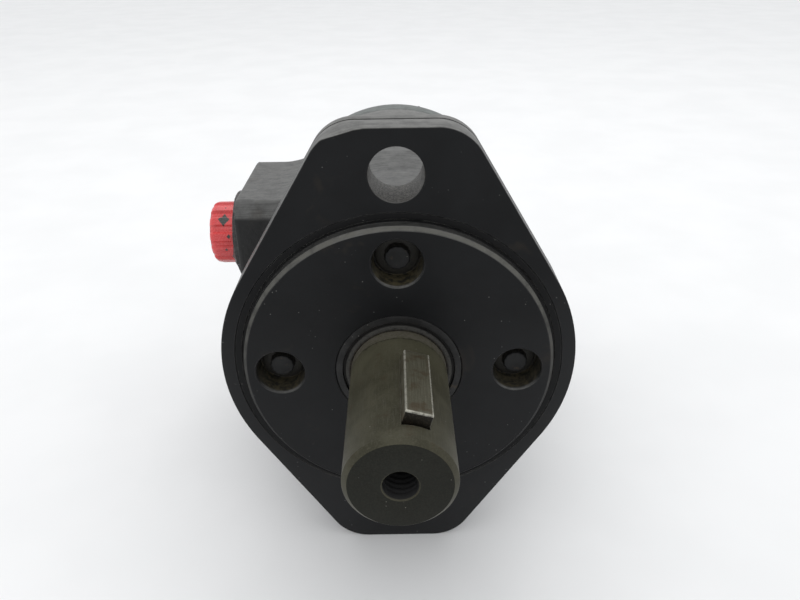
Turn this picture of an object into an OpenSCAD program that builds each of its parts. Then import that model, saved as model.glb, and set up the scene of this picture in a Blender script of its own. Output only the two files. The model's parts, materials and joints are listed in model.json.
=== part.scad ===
// Hydraulic motor, low-speed high-torque orbital type, with a two-bolt oval flange.
// Units are millimetres. The shaft axis is Y: the shaft points to -Y, the rear cap to +Y.
// The origin is the centre of the flange's mounting face. Z runs along the long side of the
// flange, and the port face looks to -X.

/* [Mounting flange] */
// Diameter of the pilot that centres the motor
pilot_d = 82.55; // [70:0.05:90]
// Height of the pilot above the mounting face
pilot_h = 2.8; // [1.5:0.1:5]
// Distance between the two mounting bolt holes
bolt_spacing = 106.4; // [100:0.1:112]
// Diameter of a mounting bolt hole
bolt_hole_d = 13.5; // [9:0.5:15]
// Length of the flange over its two flats
flange_long = 128.6; // [124:0.1:134]
// Width of the flange across its round middle
flange_wide = 95.2; // [92:0.1:100]
// Thickness of the flange behind the mounting face
flange_t = 12.3; // [10:0.1:16]

/* [Flange screws] */
// Radius of the circle that carries the four sunk screws
screw_ring_r = 31.6; // [30:0.1:33]
// Diameter of the sunk holes over the screw heads
counterbore_d = 12.9; // [12.4:0.1:14]

/* [Shaft] */
// Diameter of the straight output shaft
shaft_d = 25.4; // [22:0.1:26]
// Length of the shaft ahead of the mounting face
shaft_out = 45.5; // [40:0.5:60]
// Width of the square key
key_w = 6.35; // [5:0.05:8]
// Length of the key
key_len = 23.4; // [18:0.2:30]
// Gap between the shaft end and the key
key_gap = 5.7; // [4:0.1:8]
// Angle of the key from straight up, seen from the shaft end
key_turn = 16; // [0:1:90]
// Diameter of the threaded hole in the shaft end
end_hole_d = 7.9; // [6:0.1:10]

/* [Housing] */
// Radius of the round body behind the port block
body_r = 43; // [42:0.5:44]
// Distance from the mounting face to the back of the housing
housing_back = 88; // [86:0.5:92]
// Distance from the shaft axis to the port face
port_face = 50.2; // [49:0.1:54]
// Height of the port block
block_h = 60; // [58:0.5:64]
// Length of the port block along the shaft
block_len = 44.8; // [44:0.2:46]
// Width of the chamfers along the front edges of the port block
block_edge = 4.6; // [1:0.1:6]
// Offset of each port above or below the shaft axis
port_offset = 14.3; // [14:0.1:15.5]

/* [Gerotor set] */
// Width of the roller ring
ring_w = 16.5; // [12:0.5:25]
// Offset between the star and the ring
offset_e = 2.5; // [2:0.1:2.8]
// Radius of a roller
roller_r = 5; // [4.5:0.1:5.3]
// Thickness of the spacer plate
spacer_t = 6; // [5:0.5:8]
// Thickness of the end cap
cap_t = 11; // [10:0.5:14]

/* [Hidden] */
pilot_r = pilot_d / 2;
shaft_r = shaft_d / 2;
flange_h = flange_long / 2;
side_a = 31.5;                 // angle of the straight sides' normals above X
side_d = flange_wide / 2;      // distance of the straight sides from the centre
corner_r = 12;
corner_z = flange_h - corner_r;
corner_x = (side_d - corner_r - corner_z * sin(side_a)) / cos(side_a);
screw_r = 3.95;
screw_head_r = 3.35;           // corners of the twelve-point heads
screw_head_y = 0.6;            // where their front ends lie
screw_seat_y = 4.4;            // floor of the sunk holes
screw_collar_r = 5.7;
seal_r = 16.8;                 // outside of the dust seal's case
lip_r = 14.95;                 // inside of the case, where the rubber begins
bore_r = 19.03;
spool_r = 19;
block_front = housing_back - block_len;
port_a_y = block_front + 17;
port_b_y = housing_back - 14.2;
port_thread_r = 10.3;
port_spot_r = 14.2;            // spot face round each port
feed_r = 5.6;                  // drilling from each port to the spool
feed_z = 13;
plug_y = housing_back - 7.8;   // drain plug
plug_z = 21.2;
plug_seat_r = 6.8;
plug_r = 5;
spacer_y = housing_back;
ring_y = spacer_y + spacer_t;
cap_y = ring_y + ring_w;
back_y = cap_y + cap_t;
rollers = 7;
step = 360 / rollers;
pitch_r = 27;                  // circle of the roller centres
channel_r = 24.6;              // circle of the timing channels
channel_w = 2.4;               // their radius, and the width of the slots that feed them
cap_screw_r = 35.2;            // circle of the rear screws
cap_round = 3.2;               // rounded rim of the end cap
cap_seat_r = 7.6;              // sunk seats under the rear screws' heads
cap_seat_y = back_y - 1.4;
wrench = 11.8;                 // width of those heads across flats
spline_n = 12;
stop_r = 40.85;                // circle of the seal rings in front of and behind the roller ring
link_mid_shaft = 60;           // where the link pivots in the shaft
link_mid_star = ring_y + ring_w / 2;
link_tilt = atan(offset_e / (link_mid_star - link_mid_shaft));
key_front = -shaft_out + key_gap;
key_top = shaft_r + 2.8;
key_edge = 0.3;                // chamfer of the key's edges
keyway_run = 0.8;              // the keyway is this much longer than the key in front
cap_r = 10.3;                  // grip lands of the port cap
cap_head = 10.6;                // the port cap's end, ahead of the port face
thrust_y = flange_t + 0.1;

// A turned ring or disc: every point is [radius, position along the shaft].
module turned(pts, fn = 96) rotate([-90, 0, 0]) rotate_extrude($fn = fn) polygon(pts);

// A round bar or hole along the shaft, from y0 to y1.
module rod(r, y0, y1, x = 0, z = 0, fn = 64)
    translate([x, y0, z]) rotate([-90, 0, 0]) cylinder(r = r, h = y1 - y0, $fn = fn);

// A round bar or hole along X, from x0 to x1.
module bar(r, x0, x1, y, z, fn = 64)
    translate([x0, y, z]) rotate([0, 90, 0]) cylinder(r = r, h = x1 - x0, $fn = fn);

// One quarter of the flange outline, then mirrored: round middle, straight side, corner, flat.
function quarter(g) = concat(
    [for (a = [0 : 3.5 : side_a]) [(side_d - g) * cos(a), (side_d - g) * sin(a)]],
    [for (i = [0 : 8]) let (a = side_a + i * (90 - side_a) / 8)
        [corner_x + (corner_r - g) * cos(a), corner_z + (corner_r - g) * sin(a)]]);
function flip_x(p) = [for (i = [len(p) - 1 : -1 : 0]) [-p[i][0], p[i][1]]];
function no_first(p) = [for (i = [1 : len(p) - 1]) p[i]];
function no_last(p) = [for (i = [0 : len(p) - 2]) p[i]];
function half(g) = concat(quarter(g), no_last(flip_x(quarter(g))));
function outline(g) = concat(half(g), [for (p = half(g)) [-p[0], -p[1]]]);
module slab(y0, y1, g = 0)
    translate([0, y1, 0]) rotate([90, 0, 0]) linear_extrude(height = y1 - y0) polygon(outline(g));

// Outline of a splined hole or end: n teeth between radius ri and ro, tooth share w.
function spline(n, ri, ro, w) = [for (i = [0 : n - 1], k = [0 : 3])
    let (a = (i + [-w, -w * 0.6, w * 0.6, w][k] / 2) * 360 / n, r = [ri, ro, ro, ri][k])
    [r * cos(a), r * sin(a)]];

// Outline of the star: the path of the roller centres, moved inwards by the roller radius.
function star_pt(t, s) =
    let (vx = -pitch_r * sin(t) - 7 * offset_e * sin(7 * t),
         vy = pitch_r * cos(t) + 7 * offset_e * cos(7 * t),
         v = sqrt(vx * vx + vy * vy))
    [pitch_r * cos(t) + offset_e * cos(7 * t) - s * vy / v,
     pitch_r * sin(t) + offset_e * sin(7 * t) + s * vx / v];

module hex_prism(af, h) cylinder(r = af / sqrt(3), h = h, $fn = 6);

// Outline of a twelve-point screw head.
function twelve_point(r) = [for (i = [0 : 23]) let (d = r * (i % 2 == 0 ? 1 : 0.91))
    [d * cos(i * 15), d * sin(i * 15)]];

// Outline of a grip with n flat lands and grooves of the given depth.
function grip(n, r, depth) = [for (i = [0 : n - 1], k = [[-6.5, 0], [6.5, 0], [10.5, 1], [19.5, 1]])
    let (a = i * 360 / n + k[0], d = r - k[1] * depth) [d * cos(a), d * sin(a)]];

// A rectangle with its four corners cut.
function cut_corners(x0, y0, x1, y1, c) = [[x0 + c, y0], [x1 - c, y0], [x1, y0 + c], [x1, y1 - c],
    [x1 - c, y1], [x0 + c, y1], [x0, y1 - c], [x0, y0 + c]];

module mounting_flange() color("#1e1f20") difference() {
    union() {
        slab(0, 7.8);
        slab(7.7, 8.7, 0.7);
        slab(8.6, flange_t);
        turned([[seal_r - 6, -pilot_h], [pilot_r - 0.7, -pilot_h], [pilot_r, -pilot_h + 0.7],
                [pilot_r, 2], [seal_r - 6, 2]], 180);
    }
    // relief groove round the foot of the pilot, with one shallow step
    turned([[pilot_r, -0.2], [pilot_r + 2.8, -0.2], [pilot_r + 2.8, 0.35],
            [pilot_r + 0.9, 0.35], [pilot_r + 0.9, 0.6], [pilot_r, 0.6]], 180);
    for (s = [-1, 1]) rod(bolt_hole_d / 2, -1, flange_t + 1, 0, s * bolt_spacing / 2);
    for (a = [0 : 90 : 270]) rotate([0, a, 0]) {
        rod(counterbore_d / 2, -pilot_h - 1, screw_seat_y, screw_ring_r);
        rod(screw_r + 0.25, screw_seat_y - 1, flange_t + 1, screw_ring_r);
    }
    // stepped bore: dust seal, lip, shaft seal
    turned([[0, -pilot_h - 1], [seal_r, -pilot_h - 1], [seal_r, 3.2], [14.2, 3.2], [14.2, 4.8],
            [19, 4.8], [19, flange_t + 1], [0, flange_t + 1]]);
    // groove of the flange's own seal ring
    turned([[23, flange_t - 1.9], [25.6, flange_t - 1.9], [25.6, flange_t + 1], [23, flange_t + 1]]);
}

module flange_screws() color("#26282a") for (a = [0 : 90 : 270]) rotate([0, a, 0])
    translate([screw_ring_r, 0, 0]) {
        intersection() {
            translate([0, screw_seat_y - 1, 0]) rotate([90, 0, 0])
                linear_extrude(height = screw_seat_y - 1 - screw_head_y)
                    polygon(twelve_point(screw_head_r));
            turned([[0, screw_head_y], [2.95, screw_head_y], [screw_head_r, screw_head_y + 0.4],
                    [screw_head_r, screw_seat_y], [0, screw_seat_y]], 48);
        }
        turned([[0, screw_seat_y - 1.5], [screw_r, screw_seat_y - 1.5],
                [screw_collar_r, screw_seat_y - 0.9], [screw_collar_r, screw_seat_y - 0.02],
                [0, screw_seat_y - 0.02]], 48);
        rod(screw_r, screw_seat_y - 0.1, flange_t + 13.6, 0, 0, 48);
    }

module dust_seal_case() color("#3a3c3d") turned([[lip_r, -pilot_h + 0.2],
    [seal_r - 0.02, -pilot_h + 0.2], [seal_r - 0.02, 3.15], [14.6, 3.15], [14.6, 2.4],
    [lip_r, 2.4]]);

// The wiper lip stands a little ahead of the pilot's face, behind a narrow groove.
module dust_seal() color("#141414") turned([[shaft_r + 0.03, -pilot_h - 0.3],
    [shaft_r + 0.35, -pilot_h - 0.4], [13.9, -pilot_h - 0.15], [14.15, -pilot_h + 0.05],
    [14.25, -pilot_h + 0.9], [lip_r - 0.03, -pilot_h + 0.9], [lip_r - 0.03, 2.35], [14.5, 2.35],
    [14.5, 2.9], [13.7, 2.9], [13.5, 0.6], [shaft_r + 0.5, 0.2]]);

module shaft_seal() color("#15120f") turned([[shaft_r + 0.03, 6.9], [shaft_r + 0.9, 5.2],
    [15.6, 5.0], [18.95, 5.0], [18.95, 9.4], [15.4, 9.4], [14.9, 7.4], [13.6, 8.1],
    [shaft_r + 0.03, 7.5]]);

module seal_washer() color("#8c8f92") turned([[13.1, 9.45], [18.9, 9.45], [18.9, 11.1],
    [13.1, 11.1]]);

module ring_seal(r, y, w = 1)
    translate([0, y, 0]) rotate([-90, 0, 0]) rotate_extrude($fn = 96)
        translate([r, 0]) circle(r = w, $fn = 20);
module flange_oring() color("#121212") ring_seal(24.3, flange_t - 0.93, 0.92);

// Side view of the port block in the Y-Z plane, with its chamfered edges.
function block_pts() = let (y0 = block_front, y1 = housing_back, h = block_h / 2, c = block_edge)
    [[y0 + c, h], [y0, h - c], [y0, c - h], [y0 + c, -h],
     [y1 - 1.5, -h], [y1, -h + 1.5], [y1, h - 1.5], [y1 - 1.5, h]];

module housing() color("#1e1f20") difference() {
    union() {
        turned([[0, flange_t + 0.02], [39.2, flange_t + 0.02], [40.2, flange_t + 1],
                [40.5, block_front], [body_r - 0.6, block_front + 9], [body_r, block_front + 12],
                [body_r, housing_back], [0, housing_back]], 144);
        multmatrix([[0, 0, 1, -port_face], [1, 0, 0, 0], [0, 1, 0, 0], [0, 0, 0, 1]])
            linear_extrude(height = port_face - 6) polygon(block_pts());
        // cast rib along the bottom and pads along the far side
        translate([30, block_front + 4, -7]) cube([14.5, block_len - 8, 14]);
        translate([-8, block_front + 4, -44.5]) cube([16, block_len - 8, 12]);
    }
    // spool bore with the thrust bearing's pocket in front
    turned([[0, 0], [22, 0], [22, thrust_y + 5.4], [bore_r, thrust_y + 5.4],
            [bore_r, housing_back + 1], [0, housing_back + 1]]);
    // two feed grooves round the spool and the case drain groove
    for (y = [port_a_y, port_b_y]) turned([[15, y - 3.4], [22.6, y - 3.4], [22.6, y + 3.4],
                                           [15, y + 3.4]]);
    turned([[15, 20], [21.4, 20], [21.4, 23], [15, 23]]);
    // ports: spot face, threaded mouth and feed drilling
    for (p = [[port_a_y, port_offset], [port_b_y, -port_offset]]) {
        bar(port_spot_r, -port_face - 1, -port_face + 0.35, p[0], p[1]);
        bar(port_thread_r, -port_face - 1, -port_face + 16.5, p[0], p[1]);
        bar(feed_r, -port_face + 10, -12, p[0], p[1] > 0 ? feed_z : -feed_z);
    }
    // drain plug seat and drilling
    bar(plug_seat_r, -port_face - 1, -port_face + 1.1, plug_y, plug_z);
    bar(plug_r + 0.02, -port_face - 1, -port_face + 12, plug_y, plug_z);
    // threads for the flange screws and the rear screws
    for (a = [0 : 90 : 270]) rotate([0, a, 0]) rod(screw_r + 0.02, 0, flange_t + 17, screw_ring_r);
    for (i = [0 : rollers - 1]) rotate([0, (i + 0.5) * step, 0])
        rod(screw_r + 0.02, housing_back - 17, housing_back + 1, cap_screw_r);
    // timing channels to the roller spaces
    for (i = [0 : rollers - 1]) rotate([0, i * step, 0]) {
        rod(channel_w, housing_back - 9, housing_back + 1, channel_r, 0, 32);
        rotate([0, step / 2, 0]) translate([18, housing_back - 9, -channel_w / 2])
            cube([6, 4, channel_w]);
    }
    // groove of the rear seal ring
    turned([[29.2, housing_back - 1.5], [31, housing_back - 1.5], [31, housing_back + 1],
            [29.2, housing_back + 1]]);
}

module drain_plug() color("#2b2d2f") difference() {
    union() {
        bar(plug_seat_r - 0.1, -port_face - 0.4, -port_face + 1.05, plug_y, plug_z, 48);
        bar(plug_r, -port_face + 1, -port_face + 9.5, plug_y, plug_z, 48);
    }
    translate([-port_face - 1, plug_y, plug_z]) rotate([0, 90, 0]) hex_prism(4.8, 4.5);
}

module thrust_race() color("#9a9da0") turned([[13.2, thrust_y], [21.9, thrust_y],
    [21.9, thrust_y + 1.4], [13.2, thrust_y + 1.4]]);

module thrust_cage() color("#b08a3a") {
    difference() {
        turned([[13.3, thrust_y + 1.75], [21.6, thrust_y + 1.75], [21.6, thrust_y + 2.95],
                [13.3, thrust_y + 2.95]]);
        for (i = [0 : 11]) rotate([0, i * 30, 0])
            translate([14.3, thrust_y + 1, -1]) cube([6.4, 3, 2]);
    }
    for (i = [0 : 11]) rotate([0, i * 30, 0]) translate([14.35, thrust_y + 2.35, 0])
        rotate([0, 90, 0]) cylinder(r = 0.93, h = 6.3, $fn = 20);
    for (i = [0 : 11]) rotate([0, i * 30, 0]) translate([14.25, thrust_y + 2.1, -1.05])
        cube([6.5, 0.5, 2.1]);
}

module shaft_race() color("#9a9da0") turned([[12.75, thrust_y + 3.3], [21.9, thrust_y + 3.3],
    [21.9, thrust_y + 4.7], [12.75, thrust_y + 4.7]]);

module output_shaft() color("#5c574c") difference() {
    turned([[0, -shaft_out], [shaft_r - 1.2, -shaft_out], [shaft_r, -shaft_out + 1.2],
            [shaft_r, thrust_y + 4.75], [18.6, thrust_y + 4.75], [18.6, 19.5],
            [spool_r, 20], [spool_r, housing_back - 0.6], [spool_r - 0.5, housing_back - 0.1],
            [0, housing_back - 0.1]]);
    // threaded hole in the shaft end, with a small countersink
    turned([[0, -shaft_out - 1], [end_hole_d / 2 + 0.5, -shaft_out - 1],
            [end_hole_d / 2 + 0.3, -shaft_out], [end_hole_d / 2, -shaft_out + 0.3],
            [end_hole_d / 2, -shaft_out + 18], [0, -shaft_out + 20.5]], 48);
    // keyway
    rotate([0, key_turn, 0]) translate([-key_w / 2 - 0.01, key_front - keyway_run, key_top - key_w])
        cube([key_w + 0.02, key_len + keyway_run + 0.02, key_w + 2]);
    // splined bore and drain drilling
    translate([0, 50, 0]) rotate([-90, 0, 0]) linear_extrude(height = 60)
        polygon(spline(spline_n, 8.1, 9.9, 0.62));
    rod(6.4, 24, 51);
    rod(13, housing_back - 18, housing_back + 1);
    // feed grooves and timing slots of the spool
    for (y = [port_a_y - 6.9, port_b_y + 6.9]) turned([[17.4, y - 1.3], [22, y - 1.3],
                                                       [22, y + 1.3], [17.4, y + 1.3]]);
    for (i = [0 : 5]) rotate([0, i * 60, 0]) {
        translate([-1.5, port_a_y - 3, 16.8]) cube([3, housing_back - port_a_y - 4.5, 4]);
        rotate([0, 30, 0]) translate([-1.5, port_b_y - 3, 16.8])
            cube([3, housing_back - port_b_y - 4.5, 4]);
    }
}

module shaft_key() color("#8b8474") rotate([0, key_turn, 0]) intersection() {
    translate([0, key_front + key_len, 0]) rotate([90, 0, 0]) linear_extrude(height = key_len)
        polygon(cut_corners(-key_w / 2, key_top - key_w + 0.01, key_w / 2, key_top, key_edge));
    translate([-key_w / 2 - 1, 0, 0])
        multmatrix([[0, 0, 1, 0], [1, 0, 0, 0], [0, 1, 0, 0], [0, 0, 0, 1]])
            linear_extrude(height = key_w + 2) polygon(cut_corners(key_front, key_top - key_w,
                key_front + key_len, key_top, key_edge));
}

module housing_oring() color("#121212") ring_seal(30.1, housing_back - 0.76, 0.74);

module spacer_plate() color("#34363a") difference() {
    turned([[20.5, spacer_y + 0.02], [body_r - 0.4, spacer_y + 0.02],
            [body_r, spacer_y + 0.42], [body_r, ring_y - 0.4], [body_r - 0.4, ring_y],
            [14, ring_y], [14, ring_y - 3], [20.5, ring_y - 3.5]], 144);
    for (i = [0 : rollers - 1]) rotate([0, i * step, 0]) {
        rotate([0, step / 2, 0]) rod(screw_r + 0.25, spacer_y - 1, ring_y + 1, cap_screw_r);
        rod(channel_w, spacer_y - 1, ring_y + 1, channel_r, 0, 32);
    }
    turned([[40, ring_y - 1.5], [41.7, ring_y - 1.5], [41.7, ring_y + 1], [40, ring_y + 1]], 144);
}
module ring_oring() color("#121212") ring_seal(stop_r, ring_y - 0.76, 0.74);

module roller_ring() color("#3b3d40") difference() {
    turned([[pitch_r + 0.35, ring_y + 0.02], [body_r - 0.3, ring_y + 0.02],
            [body_r, ring_y + 0.32], [body_r, cap_y - 0.3], [body_r - 0.3, cap_y],
            [pitch_r + 0.35, cap_y]], 144);
    for (i = [0 : rollers - 1]) rotate([0, i * step, 0]) {
        rod(roller_r + 0.03, ring_y - 1, cap_y + 1, pitch_r);
        rotate([0, step / 2, 0]) rod(screw_r + 0.25, ring_y - 1, cap_y + 1, cap_screw_r);
    }
}
module roller(i) color("#a8abae") rotate([0, -i * step, 0])
    translate([pitch_r, 0, 0]) turned([[0, ring_y + 0.05], [roller_r - 0.3, ring_y + 0.05],
        [roller_r, ring_y + 0.35], [roller_r, cap_y - 0.33], [roller_r - 0.3, cap_y - 0.03],
        [0, cap_y - 0.03]], 48);
module roller_1() roller(0);
module roller_2() roller(1);
module roller_3() roller(2);
module roller_4() roller(3);
module roller_5() roller(4);
module roller_6() roller(5);
module roller_7() roller(6);

module star_rotor() color("#9c9ea1") translate([-offset_e, ring_y + ring_w - 0.04, 0])
    rotate([90, 0, 0]) linear_extrude(height = ring_w - 0.1) difference() {
        polygon([for (i = [0 : 251]) star_pt(i * 360 / 252, roller_r + 0.04)]);
        polygon(spline(spline_n, 8.7, 10.6, 0.62));
    }

// One crowned spline end of the link, with its middle at the given place.
module link_end(r, y) translate([0, y, 0]) intersection() {
    translate([0, -6, 0]) rotate([-90, 0, 0]) linear_extrude(height = 12)
        polygon(spline(spline_n, 7.2, r, 0.42));
    turned([[0, -6], [r - 0.7, -6], [r, -2.5], [r, 2.5], [r - 0.7, 6], [0, 6]]);
}

// The link is straight and leans by the star's offset.
module drive_link() color("#77797c") translate([0, link_mid_shaft, 0]) rotate([0, 0, link_tilt]) {
    rod(6.2, -9, 48.4);
    turned([[0, 28], [6.2, 28], [7.4, 30], [7.4, 36.5], [0, 36.5]]);
    link_end(8.9, 0);
    link_end(9.3, 42.3);
}

module drive_stop() color("#85888b") translate([-offset_e, 0, 0])
    turned([[0, cap_y - 1.25], [7.6, cap_y - 1.25], [7.6, cap_y - 0.1], [0, cap_y - 0.1]], 64);

module cap_oring() color("#121212") ring_seal(stop_r, cap_y + 0.8, 0.74);

module end_cap() color("#1e1f20") difference() {
    turned(concat([[0, cap_y + 0.02], [body_r - 0.5, cap_y + 0.02], [body_r, cap_y + 0.52]],
        [for (a = [0 : 11.25 : 90])
            [body_r - cap_round * (1 - cos(a)), back_y - cap_round * (1 - sin(a))]],
        [[24, back_y], [22, back_y - 1.2], [0, back_y - 1.2]]), 144);
    turned([[40, cap_y - 1], [41.7, cap_y - 1], [41.7, cap_y + 1.55], [40, cap_y + 1.55]], 144);
    for (i = [0 : rollers - 1]) rotate([0, (i + 0.5) * step, 0]) {
        rod(screw_r + 0.25, cap_y - 1, back_y + 1, cap_screw_r);
        rod(cap_seat_r, cap_seat_y, back_y + 1, cap_screw_r);
    }
}

module end_cap_screws() color("#26282a")
    for (i = [0 : rollers - 1]) rotate([0, (i + 0.5) * step, 0]) translate([cap_screw_r, 0, 0]) {
        intersection() {
            translate([0, cap_seat_y + 0.02, 0]) rotate([-90, 30, 0]) hex_prism(wrench, 5.3);
            turned([[0, back_y - 1.5], [7.2, back_y - 1.5], [7.2, back_y + 3.3],
                    [5.9, back_y + 3.95], [0, back_y + 3.95]], 48);
        }
        rod(screw_r, housing_back - 14, back_y - 1, 0, 0, 40);
    }

module port_cap() color("#c01818") difference() {
    union() {
        bar(port_spot_r - 0.5, -port_face - 1.9, -port_face + 0.33, port_a_y, port_offset, 72);
        bar(port_thread_r - 0.03, -port_face - 0.1, -port_face + 11, port_a_y, port_offset, 72);
        // head with its grip lands and a small end chamfer
        translate([-port_face - cap_head, port_a_y, port_offset]) rotate([0, 90, 0]) intersection() {
            rotate([0, 0, 17]) linear_extrude(height = cap_head - 1.8) polygon(grip(12, cap_r, 0.95));
            rotate_extrude($fn = 72) polygon([[0, 0], [cap_r - 1.3, 0], [cap_r - 0.2, 0.9],
                [cap_r + 0.1, 2], [cap_r + 0.1, cap_head], [0, cap_head]]);
        }
    }
    // hollow inside
    bar(8.2, -port_face + 0.5, -port_face + 12, port_a_y, port_offset, 48);
}

mounting_flange();
flange_screws();
dust_seal_case();
dust_seal();
shaft_seal();
seal_washer();
flange_oring();
housing();
drain_plug();
thrust_race();
thrust_cage();
shaft_race();
output_shaft();
shaft_key();
housing_oring();
spacer_plate();
ring_oring();
roller_ring();
roller_1();
roller_2();
roller_3();
roller_4();
roller_5();
roller_6();
roller_7();
star_rotor();
drive_link();
drive_stop();
cap_oring();
end_cap();
end_cap_screws();
port_cap();
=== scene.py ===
import json
from math import cos, pi, radians, sin, sqrt, tan
import bmesh
import bpy
import numpy as np
from mathutils import Matrix, Vector, geometry


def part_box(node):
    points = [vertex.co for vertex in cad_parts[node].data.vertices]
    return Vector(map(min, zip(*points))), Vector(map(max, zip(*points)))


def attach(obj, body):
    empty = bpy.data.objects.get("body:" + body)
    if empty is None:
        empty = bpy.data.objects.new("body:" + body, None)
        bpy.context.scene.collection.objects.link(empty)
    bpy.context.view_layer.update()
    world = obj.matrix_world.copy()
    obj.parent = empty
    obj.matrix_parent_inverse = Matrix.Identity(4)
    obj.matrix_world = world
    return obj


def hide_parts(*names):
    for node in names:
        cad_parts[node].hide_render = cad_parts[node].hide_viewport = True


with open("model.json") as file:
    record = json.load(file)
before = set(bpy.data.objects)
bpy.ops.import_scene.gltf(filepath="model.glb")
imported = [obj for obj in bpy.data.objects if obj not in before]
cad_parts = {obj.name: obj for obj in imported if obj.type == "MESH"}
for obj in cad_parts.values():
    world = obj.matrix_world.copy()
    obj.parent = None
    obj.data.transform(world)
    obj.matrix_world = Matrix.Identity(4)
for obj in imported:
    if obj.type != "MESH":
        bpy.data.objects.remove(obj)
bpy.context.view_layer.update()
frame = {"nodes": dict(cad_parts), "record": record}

# ----- Dimensions in millimetres. The shaft axis is Y, the shaft points to -Y. -----
MM = 0.001
SEED = 7


def node_box(name):
    low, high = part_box(name)
    return np.array(low) / MM, np.array(high) / MM


mounts = {mount["name"]: mount for mount in frame["record"]["mounts"]}
flange_low, flange_high = node_box("mounting_flange")
PILOT_R = mounts["pilot"]["dims"]["r_mm"]
PILOT_Y = flange_low[1]
FLANGE_T = flange_high[1]
FLANGE_H = flange_high[2]
FLANGE_D = flange_high[0]
BOLT_R = mounts["flange_bolts"]["dims"]["hole_r_mm"]
BOLT_Z = mounts["flange_bolts"]["dims"]["spacing_y_mm"] / 2
SIDE_A = 31.5
CORNER_R = 12.0
SCREW_RING = 31.6
SUNK_R = 6.45
SUNK_Y = 4.4
HEAD_Y = 0.6
SEAL_R = 16.8
LIP_R = 14.95
SHAFT_R = mounts["shaft"]["dims"]["r_mm"]
SHAFT_Y = node_box("output_shaft")[0][1]
SHAFT_BACK = node_box("output_shaft")[1][1]
SPOOL_R = 19.0
END_HOLE_R = mounts["shaft_end_hole"]["dims"]["r_mm"]
KEY_TURN = 16.0
key_low, key_high = node_box("shaft_key")
KEY_W = 6.35
KEY_TOP = SHAFT_R + 2.8
SCUFF_Y = -6.2
PORT_R = mounts["port_b"]["dims"]["r_mm"]
SPOT_R = 14.2
PORT_DEPTH = 17.0
PORT_X, *PORT_A = [value / MM for value in mounts["port_a"]["pos_m"]]
PORT_B = [value / MM for value in mounts["port_b"]["pos_m"][1:]]
PLUG = (PORT_B[0] + 6.4, 21.2)
HOUSING_Y = node_box("housing")[1][1]
BLOCK_LEN = 44.8
BLOCK_H = 30.0
BLOCK_Y = HOUSING_Y - BLOCK_LEN
BODY_R = node_box("spacer_plate")[1][0]
RING_Y = node_box("spacer_plate")[1][1]
CAP_Y = node_box("roller_ring")[1][1]
BACK_Y = node_box("end_cap")[1][1]
REAR_SCREW_RING = 35.2
REAR_SCREWS = 7
REAR_FLATS = 11.8
ROLLER_RING = 27.0
ROLLER_R = 5.0
FLOOR_Z = flange_low[2]


# ----- Mesh building -----
def polar(radius, turn, x=0.0, z=0.0):
    return x + radius * cos(turn), z + radius * sin(turn)


def circle(radius, count=96, x=0.0, z=0.0):
    """Points of a circle in the X-Z plane; radius is a number or a function of the angle."""
    angles = [2 * pi * i / count for i in range(count)]
    return [polar(radius(a) if callable(radius) else radius, a, x, z) for a in angles]


SUNK_SPOTS = [polar(SCREW_RING, k * pi / 2) for k in range(4)]
REAR_SPOTS = [polar(REAR_SCREW_RING, -(k + 0.5) * 2 * pi / REAR_SCREWS) for k in range(REAR_SCREWS)]


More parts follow.
